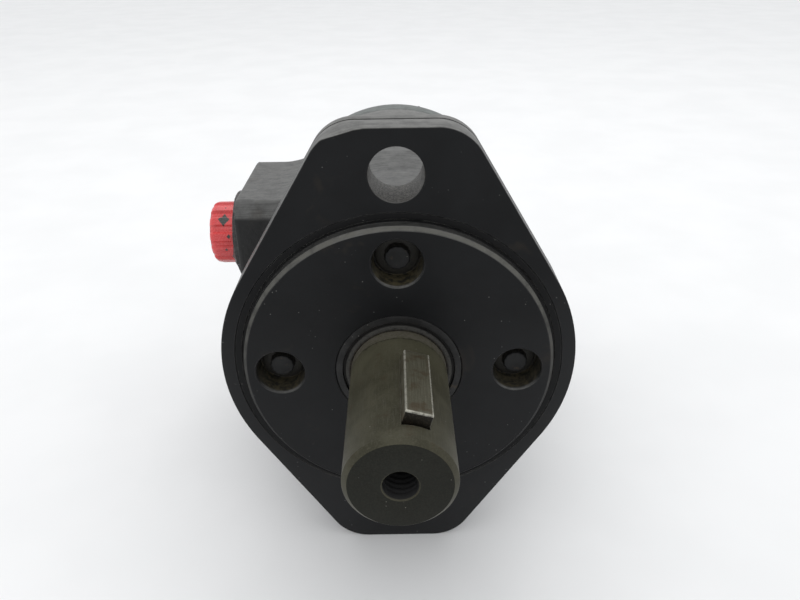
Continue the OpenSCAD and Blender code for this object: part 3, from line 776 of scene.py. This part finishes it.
def mounting_flange():
    shell = Shell()
    groove = 7.85
    side = profile([(2.0, 0.0), (0.0, 0.0, 0.3), (0.0, groove, 0.12), (0.75, groove + 0.15, 0.12),
                    (0.75, groove + 0.75, 0.12), (0.0, groove + 0.9, 0.12),
                    (0.0, FLANGE_T, 0.4), (2.0, FLANGE_T)], 0.3, 4)
    rim = shell.walls([shell.ring(ground_corner(flange_outline(g), y), y) for g, y in side])
    relief = PILOT_R + 2.8
    pilot = shell.spun(profile([(relief + 2, 0.0), (relief, 0.0, 0.12), (relief - 0.25, 0.36),
                                (PILOT_R + 0.9, 0.36), (PILOT_R + 0.75, 0.6),
                                (PILOT_R, 0.6, 0.2), (PILOT_R, PILOT_Y + 1.0, 0.12),
                                (PILOT_R - 1.0, PILOT_Y, 0.12), (PILOT_R - 2, PILOT_Y)], 0.1), 240)
    bolt = profile([(BOLT_R + 2, 0.0), (BOLT_R, 0.0), (BOLT_R, FLANGE_T),
                    (BOLT_R + 2, FLANGE_T)], 0.28)
    bolts = [shell.spun(bolt, 96, 0.0, z) for z in (BOLT_Z, -BOLT_Z)]
    hole = profile([(SUNK_R + 2, PILOT_Y), (SUNK_R + 0.3, PILOT_Y, 0.1),
                    (SUNK_R, PILOT_Y + 0.3, 0.1), (SUNK_R, SUNK_Y, 0.3),
                    (4.3, SUNK_Y, 0.1), (4.3, FLANGE_T), (6.0, FLANGE_T)], 0.2)
    sunk = [shell.spun(hole, 96, x, z) for x, z in SUNK_SPOTS]
    bore = shell.spun(profile([(SEAL_R + 2, PILOT_Y), (SEAL_R + 0.05, PILOT_Y, 0.3),
                               (SEAL_R + 0.05, 3.2), (14.2, 3.2), (14.2, 4.8), (19.0, 4.8),
                               (19.0, FLANGE_T, 0.3), (21.0, FLANGE_T)], 0.2), 160)
    depth = FLANGE_T - 1.9
    seat = shell.spun(profile([(21.0, FLANGE_T), (23.0, FLANGE_T, 0.15), (23.0, depth),
                               (25.6, depth), (25.6, FLANGE_T, 0.15), (27.0, FLANGE_T)],
                              0.2), 160)
    shell.face(rim[0], [pilot[0], bolts[0][0], bolts[1][0]])
    shell.face(pilot[-1], [bore[0]] + [rings[0] for rings in sunk])
    shell.face(rim[-1], [seat[-1]] + [rings[-1] for rings in bolts + sunk])
    shell.face(seat[0], [bore[-1]])
    return place(shell.build("flange_casting"), "casing", "flange_paint", FLANGE_PAINT,
                 "mounting_flange")


mounting_flange()


# ----- Screws -----
def hex_radius(angle, flats):
    sixth = pi / 3
    return flats / 2 / cos((angle % sixth) - sixth / 2)


def twelve_point(angle, radius=3.35):
    """Radius of a twelve-point head at an angle: two softened hexagons 30 degrees apart."""
    flats = 2 * radius * cos(pi / 6)
    corner = max(hex_radius(angle, flats), hex_radius(angle + pi / 6, flats))
    return corner * 0.55 + radius * 0.43


def flange_screws():
    count = 144
    seat = SUNK_Y - 0.02
    end = FLANGE_T + 13.6
    foot = soften([(3.9, SUNK_Y - 1.5), (5.4, SUNK_Y - 1.1, 0.4), (5.7, SUNK_Y - 0.8, 0.3),
                   (5.7, seat, 0.1), (3.95, seat, 0.1), (3.95, end - 0.6, 0.3), (3.2, end)],
                  0.2, 3, False)
    parts = []
    for i, (x, z) in enumerate(SUNK_SPOTS):
        shell = Shell()

        def shaped(scale, tilt=0.2 + i * 0.7):
            return lambda a: twelve_point(a + tilt) * scale

        head = [(shaped(0.84), HEAD_Y), (shaped(0.92), HEAD_Y + 0.05), (shaped(0.97), HEAD_Y + 0.2),
                (shaped(1.0), HEAD_Y + 0.5), (shaped(1.0), SUNK_Y - 1.75),
                (shaped(1.05), SUNK_Y - 1.5)]
        rings = shell.spun(head + foot, count, x, z)
        dish = shell.ring(circle(shaped(0.45), count, x, z), HEAD_Y + 0.02)
        shell.wall(rings[0], dish)
        shell.fan(dish, HEAD_Y + 0.06)
        shell.fan(rings[-1], end)
        parts.append(shell.build("screw_part_%d" % i, 35))
    return place(joined("flange_screw_set", parts), "casing", "screw_steel", SCREW_STEEL,
                 "flange_screws")


flange_screws()


def end_cap_screws():
    count = 144
    height = BACK_Y + 3.92
    seat = BACK_Y - 1.38
    end = HOUSING_Y - 14
    chamfer_r = REAR_FLATS / 2 - 0.35
    washer = soften([(6.0, seat + 0.5), (6.9, seat + 0.45), (7.1, seat), (5.0, seat, 0.1),
                     (3.95, seat, 0.1), (3.95, end + 0.5, 0.3), (3.3, end)], 0.15, 3, False)
    parts = []
    for i, (x, z) in enumerate(REAR_SPOTS):
        shell = Shell()

        def corner(a, tilt=i * 0.37):
            return min(hex_radius(a + tilt, REAR_FLATS) - 0.05, 6.7)

        rings = [shell.ring(circle(chamfer_r - 0.5, count, x, z), height)]
        # the chamfered top, from the flat disc out to the six corners
        for share in (0.0, 0.35, 0.7, 1.0):
            reach = [(corner(2 * pi * k / count) - chamfer_r) * share for k in range(count)]
            outline = [polar(chamfer_r + r, 2 * pi * k / count, x, z) for k, r in enumerate(reach)]
            rings.append(shell.ring(outline, [height - r * tan(pi / 6) for r in reach]))
        rings += shell.rings([(corner, seat + 0.55)] + washer, count, x, z)
        shell.walls(rings)
        dish, inner = shell.rings([(3.4, height), (2.9, height - 0.35)], count, x, z)
        shell.walls([rings[0], dish, inner])
        shell.fan(inner, height - 0.4)
        shell.fan(rings[-1], end)
        parts.append(shell.build("cap_screw_part_%d" % i, 28))
    return place(joined("end_cap_screw_set", parts), "casing", "screw_steel", REAR_STEEL,
                 "end_cap_screws")


end_cap_screws()


# ----- Seals round the shaft -----
def dust_seal():
    front = PILOT_Y
    case = turned("seal_case_ring", [(LIP_R, front + 0.2, 0.15), (SEAL_R, front + 0.2, 0.3),
                                     (SEAL_R, 3.15), (14.6, 3.15), (14.6, 2.4), (LIP_R, 2.4)], 0.1)
    place(case, "casing", "seal_case", CASE_STEEL, "dust_seal_case")
    lip = turned("dust_seal_lip", [(SHAFT_R + 0.04, front - 0.28, 0.06),
                                   (SHAFT_R + 0.4, front - 0.38, 0.15), (13.9, front - 0.14, 0.12),
                                   (14.15, front + 0.08, 0.08), (14.25, front + 0.9, 0.1),
                                   (LIP_R - 0.05, front + 0.9, 0.1), (LIP_R - 0.05, 2.35),
                                   (14.5, 2.35), (14.5, 2.9), (13.7, 2.9), (13.5, 0.6),
                                   (SHAFT_R + 0.5, 0.2)], 0.1)
    place(lip, "casing", "seal_rubber", SEAL_RUBBER, "dust_seal")


dust_seal()


# ----- Output shaft and key -----
def thread_rings(shell, minor, depth, pitch, y0, y1, count):
    """Rings of an internal thread: its grooves are cut outwards from the minor radius."""
    rows = int(round((y1 - y0) / pitch * 8))
    rings = []
    for row in range(rows + 1):
        y = y0 + (y1 - y0) * row / rows
        fade = min(1.0, (y - y0) / (0.7 * pitch), (y1 - y) / (0.7 * pitch))

        def groove(a, y=y, fade=fade):
            phase = (y / pitch + a / (2 * pi)) % 1.0
            rise = min(1.0, max(0.0, (1 - abs(2 * phase - 1)) * 1.5 - 0.25))
            return minor + depth * fade * rise

        rings.append(shell.ring(circle(groove, count), y))
    return shell.walls(rings)


def spool_radius(y):
    """Radius of the spool with its lengthwise slots at a place along the shaft."""
    slots = ((0.0, PORT_A[0] - 3), (pi / 6, PORT_B[0] - 3))
    inside = [turn for turn, start in slots if start < y < HOUSING_Y - 7.5]

    def shape(a):
        for turn in inside:
            away = ((a + turn + pi / 6) % (pi / 3)) - pi / 6
            if abs(away) < 1.5 / SPOOL_R:
                return 16.8
        return SPOOL_R
    return shape


def output_shaft():
    shell = Shell()
    count = 192
    hole = END_HOLE_R
    thrust = FLANGE_T + 4.85
    outside = soften([(hole + 3, SHAFT_Y), (SHAFT_R - 1.2, SHAFT_Y, 0.22),
                      (SHAFT_R, SHAFT_Y + 1.2, 0.3), (SHAFT_R, thrust, 0.2),
                      (18.6, thrust, 0.3), (18.6, 19.4, 0.1), (SPOOL_R, 20.0, 0.1),
                      (SPOOL_R, PORT_A[0] - 8.2)], 0.2, 4, False)[1:]
    stations = []
    for y in (PORT_A[0] - 6.9, PORT_B[0] + 6.9):
        stations += [(None, y - 1.31), (17.4, y - 1.3), (17.4, y + 1.3), (None, y + 1.31)]
    for y in (PORT_A[0] - 3, PORT_B[0] - 3, HOUSING_Y - 7.5):
        stations += [(None, y - 0.01), (None, y + 0.01)]
    stations = [(r or spool_radius(y), y) for r, y in sorted(stations, key=lambda s: s[1])]
    back = [(SPOOL_R, SHAFT_BACK - 0.5), (SPOOL_R - 0.5, SHAFT_BACK)]
    bore = soften([(SPOOL_R - 0.5, SHAFT_BACK), (13.0, SHAFT_BACK, 0.3), (13.0, 70.0, 0.3),
                   (9.95, 70.0, 0.2), (9.95, 50.0, 0.2), (6.4, 50.0, 0.2), (6.4, 24.0)],
                  0.2, 3, False)[1:]
    rings = shell.spun(outside + stations + back + bore, count)
    shell.fan(rings[-1], 22.0)
    mouth = soften([(hole + 3, SHAFT_Y), (hole + 0.3, SHAFT_Y, 0.1), (hole, SHAFT_Y + 0.3, 0.15),
                    (hole, SHAFT_Y + 1.15)], 0.15, 3, False)[1:]
    inside = shell.spun(mouth)
    thread = thread_rings(shell, hole, 0.12, 1.5875, SHAFT_Y + 1.3, SHAFT_Y + 18.0, 96)
    shell.wall(inside[-1], thread[0])
    shell.fan(thread[-1], SHAFT_Y + 20.4)
    shell.face(rings[0], [inside[0]])
    shaft = shell.build("output_shaft_body", 35)
    half = KEY_W / 2 + 0.04
    foot = KEY_TOP - KEY_W - 0.03
    slot = Shell()
    corners = [(-half, foot), (half, foot), (half, KEY_TOP + 1), (-half, KEY_TOP + 1)]
    sine, cosine = sin(radians(KEY_TURN)), cos(radians(KEY_TURN))
    spots = [(x * cosine + z * sine, z * cosine - x * sine) for x, z in corners]
    ends = slot.walls([slot.ring(spots, y) for y in (key_low[1] - 0.8, key_high[1] + 0.04)])
    slot.face(ends[0])
    slot.face(ends[1])
    shaft = cut(shaft, slot.build("keyway_cutter"))
    shaft.data.set_sharp_from_angle(angle=radians(35))
    return place(shaft, "shaft", "shaft_steel", SHAFT_STEEL, "output_shaft")


output_shaft()


def shaft_key():
    """A bar with softened edges, drawn flat along Y and then turned round the shaft."""
    shell = Shell()
    half = KEY_W / 2
    foot = KEY_TOP - KEY_W + 0.02
    edge = 0.38

    def section(inset):
        side = half - inset
        low, high = foot + inset, KEY_TOP - inset
        path = [Vector(p) for p in ((-side, low), (side, low), (side, high), (-side, high))]
        around = []
        for i in range(4):
            around += arc(path[i], path[i - 1], path[(i + 1) % 4],
                          max(0.05, edge - inset * 0.6), 4)
        return [tuple(p) for p in around]

    length = key_high[1] - key_low[1]
    path = [(edge, 0.0), (edge * 0.45, edge * 0.12), (edge * 0.12, edge * 0.45), (0.0, edge)]
    path += [(0.0, length * k / 12) for k in range(1, 12)]
    path += [(inset, length - y) for inset, y in reversed(path[:4])]
    rings = shell.walls([shell.ring(section(inset), key_low[1] + y) for inset, y in path])
    shell.face(rings[0])
    shell.face(rings[-1])
    key = shell.build("key_bar", 50)
    key.data.transform(Matrix.Rotation(radians(KEY_TURN), 4, "Y"))
    return place(key, "shaft", "key_steel", KEY_STEEL, "shaft_key")


shaft_key()


# ----- Housing: a casting described by its signed distance, then meshed -----
def lattice_noise(points, size, seed):
    """Smooth noise from -1 to 1 with features of the given size."""
    table = np.random.default_rng(seed).uniform(-1, 1, (64, 64, 64))
    spot = points / size
    cell = np.floor(spot).astype(int)
    part = spot - cell
    part = part * part * (3 - 2 * part)
    total = np.zeros(len(points))
    for corner in np.ndindex(2, 2, 2):
        index = (cell + corner) % 64
        weight = np.prod(np.where(np.array(corner), part, 1 - part), axis=1)
        total += weight * table[index[:, 0], index[:, 1], index[:, 2]]
    return total


def soft_union(a, b, blend):
    share = np.maximum(blend - np.abs(a - b), 0) / blend
    return np.minimum(a, b) - share * share * blend / 4


def soft_cross(a, b, edge):
    """Intersection of two shapes, with a rounded edge."""
    return (np.minimum(np.maximum(a, b), -edge)
            + np.hypot(np.maximum(a + edge, 0), np.maximum(b + edge, 0)))


def rounded_box(points, low, high, edge):
    centre = (np.array(low) + np.array(high)) / 2
    half = (np.array(high) - np.array(low)) / 2 - edge
    away = np.abs(points - centre) - half
    outer = np.linalg.norm(np.maximum(away, 0), axis=1)
    return outer + np.minimum(away.max(axis=1), 0) - edge


def rod_distance(points, radius, y, z):
    """Distance to a round bar along X."""
    return np.hypot(points[:, 1] - y, points[:, 2] - z) - radius


def housing_distance(points):
    x, y, z = points.T
    front = FLANGE_T + 0.03
    around = np.hypot(x, z)
    size = np.interp(y, [front, front + 1, BLOCK_Y, BLOCK_Y + 9, BLOCK_Y + 12],
                     [39.2, 40.2, 40.5, BODY_R - 0.6, BODY_R])
    barrel = around - size
    chamfer = 4.6
    block = np.maximum(BLOCK_Y - y, np.abs(z) - BLOCK_H)
    slant = (BLOCK_Y + chamfer - y + np.abs(z) - BLOCK_H) / sqrt(2)
    block = soft_cross(block, slant, 0.3)
    block = soft_cross(block, np.maximum(PORT_X - x, x + 6), 0.5)
    skin = soft_union(barrel, block, 7.0)
    middle = BLOCK_Y + 4
    rib = rounded_box(points, (28, middle, -7), (44.4, HOUSING_Y - 4, 7), 2.0)
    foot = rounded_box(points, (-8, middle, -44.4), (8, HOUSING_Y - 4, -30), 2.0)
    skin = soft_union(skin, rib, 4.0)
    skin = soft_union(skin, foot, 4.0)
    rough = lattice_noise(points, 3.4, SEED) * 0.07 + lattice_noise(points, 11.0, SEED + 1) * 0.1
    machined = np.clip((np.minimum(x - PORT_X, HOUSING_Y - y) - 0.6) / 1.5, 0, 1)
    skin = skin + rough * machined * np.clip((y - front) / 3, 0, 1)
    solid = soft_cross(skin, np.maximum(front - y, y - (HOUSING_Y - 0.02)), 0.45)
    hollow = [around - 19.3, np.maximum(around - 22.1, y - (FLANGE_T + 5.5))]
    for port_y, port_z in (PORT_A, PORT_B):
        drill = 13 if port_z > 0 else -13
        hollow += [np.maximum(rod_distance(points, SPOT_R, port_y, port_z), x - (PORT_X + 2.2)),
                   np.maximum(rod_distance(points, 11.6, port_y, port_z), x - (PORT_X + 17.2)),
                   np.maximum(rod_distance(points, 5.6, port_y, drill), x + 12)]
    hollow += [np.maximum(rod_distance(points, 7.2, *PLUG), x - (PORT_X + 2.0)),
               np.maximum(rod_distance(points, 5.1, *PLUG), x - (PORT_X + 12))]
    hollow += [np.maximum(np.hypot(x - sx, z - sz) - 4.2, y - (FLANGE_T + 15))
               for sx, sz in SUNK_SPOTS]
    hollow += [np.maximum(np.hypot(x - sx, z - sz) - 4.2, (HOUSING_Y - 17) - y)
               for sx, sz in REAR_SPOTS]
    return np.maximum(solid, -np.minimum.reduce(hollow))


def surface_net(distance, low, high, step):
    """Meshes the zero surface of a distance function: one point in each crossed cell."""
    counts = np.ceil((np.array(high) - low) / step).astype(int) + 1
    axes = [low[k] + step * np.arange(counts[k]) for k in range(3)]
    grid = np.stack(np.meshgrid(*axes, indexing="ij"), -1).reshape(-1, 3)
    values = np.concatenate([distance(part) for part in np.array_split(grid, 12)])
    values = values.reshape(counts)
    inside = values < 0
    cells = counts - 1
    total = np.zeros((*cells, 3))
    crossings = np.zeros(cells)
    for axis, *corner in np.ndindex(3, 2, 2):
        corner.insert(axis, 0)
        first = [slice(c, n + c) for c, n in zip(corner, cells)]
        second = list(first)
        second[axis] = slice(1, cells[axis] + 1)
        a, b = values[tuple(first)], values[tuple(second)]
        hit = (a < 0) != (b < 0)
        crossings += hit
        spot = np.zeros((*cells, 3)) + corner
        spot[..., axis] = np.where(hit, a / np.where(hit, a - b, 1), 0)
        total += spot * hit[..., None]
    used = crossings > 0
    names = -np.ones(cells, int)
    names[used] = np.arange(np.count_nonzero(used))
    base = np.argwhere(used)
    points = (base + total[used] / crossings[used][:, None]) * step + low
    faces = []
    for axis in range(3):
        a, b = [k for k in range(3) if k != axis]
        if axis == 1:
            a, b = b, a
        one = [slice(1, cells[k]) for k in range(3)]
        one[axis] = slice(0, cells[axis])
        two = list(one)
        two[axis] = slice(1, cells[axis] + 1)
        start, end = inside[tuple(one)], inside[tuple(two)]
        where = np.argwhere(start != end)
        flip = end[tuple(where.T)]
        where[:, a] += 1
        where[:, b] += 1
        quad = []
        for da, db in ((0, 0), (1, 0), (1, 1), (0, 1)):
            spot = where.copy()
            spot[:, a] -= da
            spot[:, b] -= db
            quad.append(names[tuple(spot.T)])
        quad = np.stack(quad, 1)
        quad[flip] = quad[flip][:, ::-1]
        faces.append(quad)
    return points, np.concatenate(faces)


def slope(distance, points, reach=0.02):
    """Unit vectors of the steepest rise of a distance function."""
    rise = np.stack([distance(points + move) - distance(points - move)
                     for move in np.eye(3) * reach], 1)
    return rise / np.maximum(np.linalg.norm(rise, axis=1), 1e-9)[:, None]


def housing():
    step = 0.75
    low = np.array([PORT_X - 2.0, FLANGE_T - 1.5, -46.5])
    high = np.array([46.5, HOUSING_Y + 1.5, 45.5])
    points, faces = surface_net(housing_distance, low, high, step)
    for _ in range(3):
        away = np.clip(housing_distance(points), -0.3, 0.3)[:, None]
        points = points - slope(housing_distance, points) * away
    mesh = bpy.data.meshes.new("housing_casting")
    mesh.from_pydata((points * MM).tolist(), [], faces.tolist())
    mesh.validate()
    mesh.polygons.foreach_set("use_smooth", [True] * len(mesh.polygons))
    mesh.update()
    outward(mesh)
    mesh.set_sharp_from_angle(angle=radians(50))
    return place(add_piece("housing_casting", mesh), "casing", "housing_paint", HOUSING_PAINT,
                 "housing")


housing()


def port_mouth(name, port):
    """The machined spot face of a port, with its threaded mouth."""
    shell = Shell()
    count = 160
    end = -PORT_DEPTH
    outside = soften([(PORT_R + 1.0, -0.35), (SPOT_R - 0.05, -0.35), (SPOT_R - 0.05, -2.1),
                      (PORT_R + 1.25, -2.1), (PORT_R + 1.25, end), (PORT_R + 0.4, end)],
                     0.1, 3, False)[1:]
    rings = shell.spun(outside, count)
    mouth = soften([(PORT_R + 2.0, -0.35), (PORT_R + 0.75, -0.35), (PORT_R, -1.05, 0.1),
                    (PORT_R, -1.2)], 0.12, 3, False)[1:]
    inside = shell.spun(mouth, count)
    thread = thread_rings(shell, PORT_R, 0.75, 1.81, end + 0.6, -1.3, count)
    shell.wall(inside[-1], thread[-1])
    shell.face(rings[0], [inside[0]])
    deep = shell.ring(circle(PORT_R, count), end)
    shell.wall(thread[0], deep)
    shell.wall(rings[-1], deep)
    piece = along_x(shell.build(name, 35), *port, PORT_X)
    return place(piece, "casing", "housing_paint", THREAD_STEEL)


port_mouth("port_a_mouth", PORT_A)
port_mouth("port_b_mouth", PORT_B)


def drain_plug():
    shell = Shell()
    outside = profile([(3.0, 0.4), (6.65, 0.4, 0.35), (6.65, -1.1, 0.1), (5.0, -1.1, 0.1),
                       (5.0, -9.5, 0.4), (3.0, -9.5)], 0.2, 4)
    rings = shell.spun(outside)
    mouth, _, deep = shell.spun([(3.2, 0.4), (lambda a: min(3.0, hex_radius(a, 4.8)), 0.1),
                                   (lambda a: hex_radius(a, 4.8), -3.4)])
    shell.face(rings[0], [mouth])
    shell.fan(deep, -4.0)
    shell.fan(rings[-1], -9.5)
    plug = along_x(shell.build("drain_plug_body", 35), *PLUG, PORT_X)
    place(plug, "casing", "plug_steel", PLUG_STEEL, "drain_plug")
    seat = turned("drain_plug_seat", [(6.75, 0.0, 0.08), (7.1, 0.02), (7.1, -1.9), (5.05, -1.9),
                                      (5.05, -1.15, 0.05), (6.75, -1.15, 0.05)], 0.1, 96)
    place(along_x(seat, *PLUG, PORT_X), "casing", "plug_steel", PLUG_STEEL)


drain_plug()


# ----- Gerotor section and end cap -----
def disc(name, y0, y1, edge, inner):
    """A flat ring with rounded rim, an inner outline and a hole for each rear screw."""
    shell = Shell()
    rim = profile([(BODY_R - 2, y0), (BODY_R, y0), (BODY_R, y1), (BODY_R - 2, y1)], edge, 4)
    rim = shell.spun(rim, 288)
    bore = shell.walls([shell.ring(inner, y0), shell.ring(inner, y1)])
    tubes = [shell.spun([(4.2, y0), (4.2, y1)], 64, x, z) for x, z in REAR_SPOTS]
    shell.face(rim[0], [bore[0]] + [tube[0] for tube in tubes])
    shell.face(rim[-1], [bore[-1]] + [tube[-1] for tube in tubes])
    return shell.build(name, 35)


def spacer_plate():
    plate = disc("spacer_disc", HOUSING_Y + 0.02, RING_Y, 0.35, circle(20.5, 160))
    return place(plate, "casing", "plate_paint", RIM_PAINT, "spacer_plate")


def pocket_radius(angle):
    """Inner outline of the roller ring: a circle with seven round pockets."""
    share = 2 * pi / REAR_SCREWS
    away = ((angle + share / 2) % share) - share / 2
    reach = (ROLLER_R + 0.06) ** 2 - (ROLLER_RING * sin(away)) ** 2
    inner = ROLLER_RING + 0.35
    return inner if reach <= 0 else max(inner, ROLLER_RING * cos(away) + sqrt(reach))


def roller_ring():
    ring = disc("roller_ring_body", RING_Y + 0.02, CAP_Y, 0.3, circle(pocket_radius, 560))
    return place(ring, "casing", "ring_paint", RIM_PAINT, "roller_ring")


def end_cap():
    front = CAP_Y + 0.02
    edge = 3.2
    path = [(1.0, front), (BODY_R, front, 0.45), (BODY_R, BACK_Y - edge)]
    path += [polar(edge, radians(15 * k), BODY_R - edge, BACK_Y - edge) for k in range(1, 6)]
    path += [(BODY_R - edge, BACK_Y), (24.0, BACK_Y, 0.5), (22.0, BACK_Y - 1.2, 0.5),
             (9.0, BACK_Y - 1.2, 0.6), (7.5, BACK_Y - 0.7, 0.6), (3.0, BACK_Y - 0.6)]
    shell = Shell()
    rings = shell.spun(soften(path, 0.4, 3, False), 288)
    shell.fan(rings[-1], BACK_Y - 0.6)
    shell.fan(rings[0], front)
    cutter = Shell()
    seat = BACK_Y - 1.4
    for x, z in REAR_SPOTS:
        hole = cutter.spun([(4.2, front - 1), (4.2, seat), (7.6, seat), (7.6, BACK_Y + 1)],
                           96, x, z)
        cutter.face(hole[0])
        cutter.face(hole[-1])
    cap = cut(shell.build("end_cap_body", 35), cutter.build("screw_seat_cutter"))
    cap.data.set_sharp_from_angle(angle=radians(35))
    return place(cap, "casing", "cap_paint", CAP_PAINT, "end_cap")


spacer_plate()
roller_ring()
end_cap()


# ----- Red port cap with its skin of black paint -----
CAP_HEAD = PORT_X - node_box("port_cap")[0][0]
GRIP_R = 10.3
GRIP_LANDS = 12
GRIP_TURN = radians(-2)


def grip_radius(angle, depth=0.95):
    """Flat lands and grooves round the head of the port cap; a groove at pi looks to -Y."""
    period = 2 * pi / GRIP_LANDS
    away = abs(((pi - angle - GRIP_TURN + period / 2) % period) - period / 2)
    rise = min(1.0, max(0.0, (away - radians(4.6)) / radians(4.2)))
    rise = rise * rise * (3 - 2 * rise)
    flat = cos(radians(8)) / cos(period / 2 - away)
    return GRIP_R * flat - depth * (1 - rise)


def port_cap():
    shell = Shell()
    count = 288
    sides = ((0.862, CAP_HEAD), (0.885, CAP_HEAD - 0.06), (0.93, CAP_HEAD - 0.35),
             (0.972, CAP_HEAD - 0.9), (0.992, CAP_HEAD - 1.5), (1.0, CAP_HEAD - 2.3),
             (1.0, 5.0), (1.0, 2.4))
    head = [(lambda a, s=s: grip_radius(a) * s, y) for s, y in sides]
    flange = soften([(GRIP_R + 0.02, 2.3), (GRIP_R + 0.12, 1.9, 0.3), (13.7, 1.9, 0.35),
                     (13.7, -0.3, 0.3), (PORT_R - 0.02, -0.3, 0.1), (PORT_R - 0.02, -10.6, 0.4),
                     (8.2, -11.0), (8.2, -1.0, 0.4), (3.0, -1.0)], 0.2, 4, False)
    rings = shell.spun(head + flange, count)
    shell.fan(rings[-1], -1.0)
    face = [(lambda a: 8.3 + (grip_radius(a) - 8.3) * 0.2, CAP_HEAD - 0.02),
            (8.3, CAP_HEAD - 0.05)]
    dish = soften([(8.3, CAP_HEAD - 0.05), (7.6, CAP_HEAD - 0.05), (6.9, CAP_HEAD - 0.8, 0.3),
                   (2.0, CAP_HEAD - 0.8)], 0.2, 4, False)
    dish = shell.walls([rings[0]] + shell.rings(face + dish[1:], count))
    shell.fan(dish[-1], CAP_HEAD - 0.8)
    cap = along_x(shell.build("port_cap_body", 30), *PORT_A, PORT_X)
    return place(cap, "cap", "red_plastic", RED, "port_cap")


port_cap()


def ragged(angle, seed, coarse=9, fine=31):
    """A repeatable jagged curve round a circle, from 0 to 1."""
    random = np.random.default_rng(seed)
    values = [random.uniform(0, 1, coarse), random.uniform(0, 1, fine)]
    total = 0.0
    for table, weight in zip(values, (0.55, 0.45)):
        spot = angle / (2 * pi) * len(table)
        low = int(spot) % len(table)
        part = spot - int(spot)
        total += weight * (table[low] * (1 - part) + table[(low + 1) % len(table)] * part)
    return total


def paint_skin():
    """Dried paint over the cap's flange, with torn edges and loose flakes."""
    shell = Shell()
    count = 360
    outer = lambda a: 13.8 + 2.6 * max(0.0, ragged(a, SEED, 13, 57) - 0.45)
    inner = lambda a: 10.6 + 1.3 * ragged(a, SEED + 3, 17, 71)
    crest = lambda a: 13.35 + 0.4 * ragged(a, SEED + 4, 17, 71)
    reach = [1.95 + 3.2 * max(0.0, ragged(2 * pi * k / count, SEED + 5, 15, 63) - 0.4)
             for k in range(count)]
    rings = shell.rings([(inner, 1.86), (inner, reach), (crest, 2.15), (outer, 1.75),
                         (outer, -0.25), (13.74, -0.25), (13.74, 1.6), (13.4, 1.86)], count)
    shell.walls(rings + rings[:1])
    skin = along_x(shell.build("cap_paint_skin", 60), *PORT_A, PORT_X)
    return place(skin, "cap", "red_plastic", FLAKE)


paint_skin()


# ----- CAD parts that keep their shape -----
def dress(material, *names):
    for name in names:
        mesh = frame["nodes"][name].data
        mesh.materials.clear()
        mesh.materials.append(material)


dress(ORING_RUBBER, "flange_oring", "housing_oring", "ring_oring", "cap_oring", "shaft_seal")
dress(INNER_STEEL, "seal_washer", "thrust_race", "shaft_race", "star_rotor", "drive_link",
      "drive_stop", *["roller_%d" % k for k in range(1, REAR_SCREWS + 1)])
dress(BRASS, "thrust_cage")


# ----- Studio -----
SKY_FRONT = 0.82
SKY_BACK = 1.06


def floor():
    size = 3.0
    mesh = bpy.data.meshes.new("studio_floor")
    z = FLOOR_Z * MM
    mesh.from_pydata([(-size, -size, z), (size, -size, z), (size, size, z), (-size, size, z)],
                     [], [(0, 1, 2, 3)])
    mesh.materials.append(pale_floor())
    add_piece("studio_floor", mesh)


def soft_light(name, spot, size, power, aim=(0, 0.02, 0)):
    data = bpy.data.lights.new(name, "AREA")
    data.size = size
    data.energy = power
    light = bpy.data.objects.new(name, data)
    bpy.context.scene.collection.objects.link(light)
    light.location = spot
    light.rotation_euler = (Vector(aim) - Vector(spot)).to_track_quat("-Z", "Y").to_euler()


def sky():
    """Soft light that is dimmer from the front, behind a plain pale background."""
    world = bpy.context.scene.world or bpy.data.worlds.new("studio_world")
    bpy.context.scene.world = world
    world.use_nodes = True
    nodes = world.node_tree.nodes
    link = world.node_tree.links.new
    light = nodes["Background"]
    light.inputs[0].default_value = (0.98, 0.99, 1.0, 1)
    split = nodes.new("ShaderNodeSeparateXYZ")
    link(nodes.new("ShaderNodeTexCoord").outputs["Generated"], split.inputs[0])
    power = nodes.new("ShaderNodeMapRange")
    power.interpolation_type = "SMOOTHSTEP"
    for socket, value in enumerate((-0.95, 0.15, SKY_FRONT, SKY_BACK), 1):
        power.inputs[socket].default_value = value
    link(split.outputs[1], power.inputs[0])
    link(power.outputs[0], light.inputs[1])
    plain = nodes.new("ShaderNodeBackground")
    plain.inputs[0].default_value = (0.9, 0.905, 0.91, 1)
    choice = nodes.new("ShaderNodeMixShader")
    sources = (nodes.new("ShaderNodeLightPath").outputs["Is Camera Ray"], light.outputs[0],
               plain.outputs[0])
    for socket, source in enumerate(sources):
        link(source, choice.inputs[socket])
    link(choice.outputs[0], nodes["World Output"].inputs[0])


def studio():
    floor()
    sky()
    soft_light("top_light", (0, 0.35, 0.9), 0.9, 2.3)
    soft_light("front_light", (0, -0.5, 0.8), 0.8, 0.9, (0, -0.12, FLOOR_Z * MM))
    bpy.context.scene.view_settings.view_transform = "Standard"


def camera():
    data = bpy.data.cameras.new("camera")
    data.sensor_width = 36
    data.lens = 30.52
    data.clip_start = 0.005
    view = bpy.data.objects.new("camera", data)
    bpy.context.scene.collection.objects.link(view)
    turn = Matrix.Rotation(radians(-0.235), 4, "Z")
    turn = turn @ Matrix.Rotation(radians(90 - 28.696), 4, "X")
    turn = turn @ Matrix.Rotation(radians(-0.695), 4, "Z")
    view.matrix_world = Matrix.Translation((-0.000087, -0.152339, 0.103505)) @ turn
    bpy.context.scene.camera = view


studio()
camera()
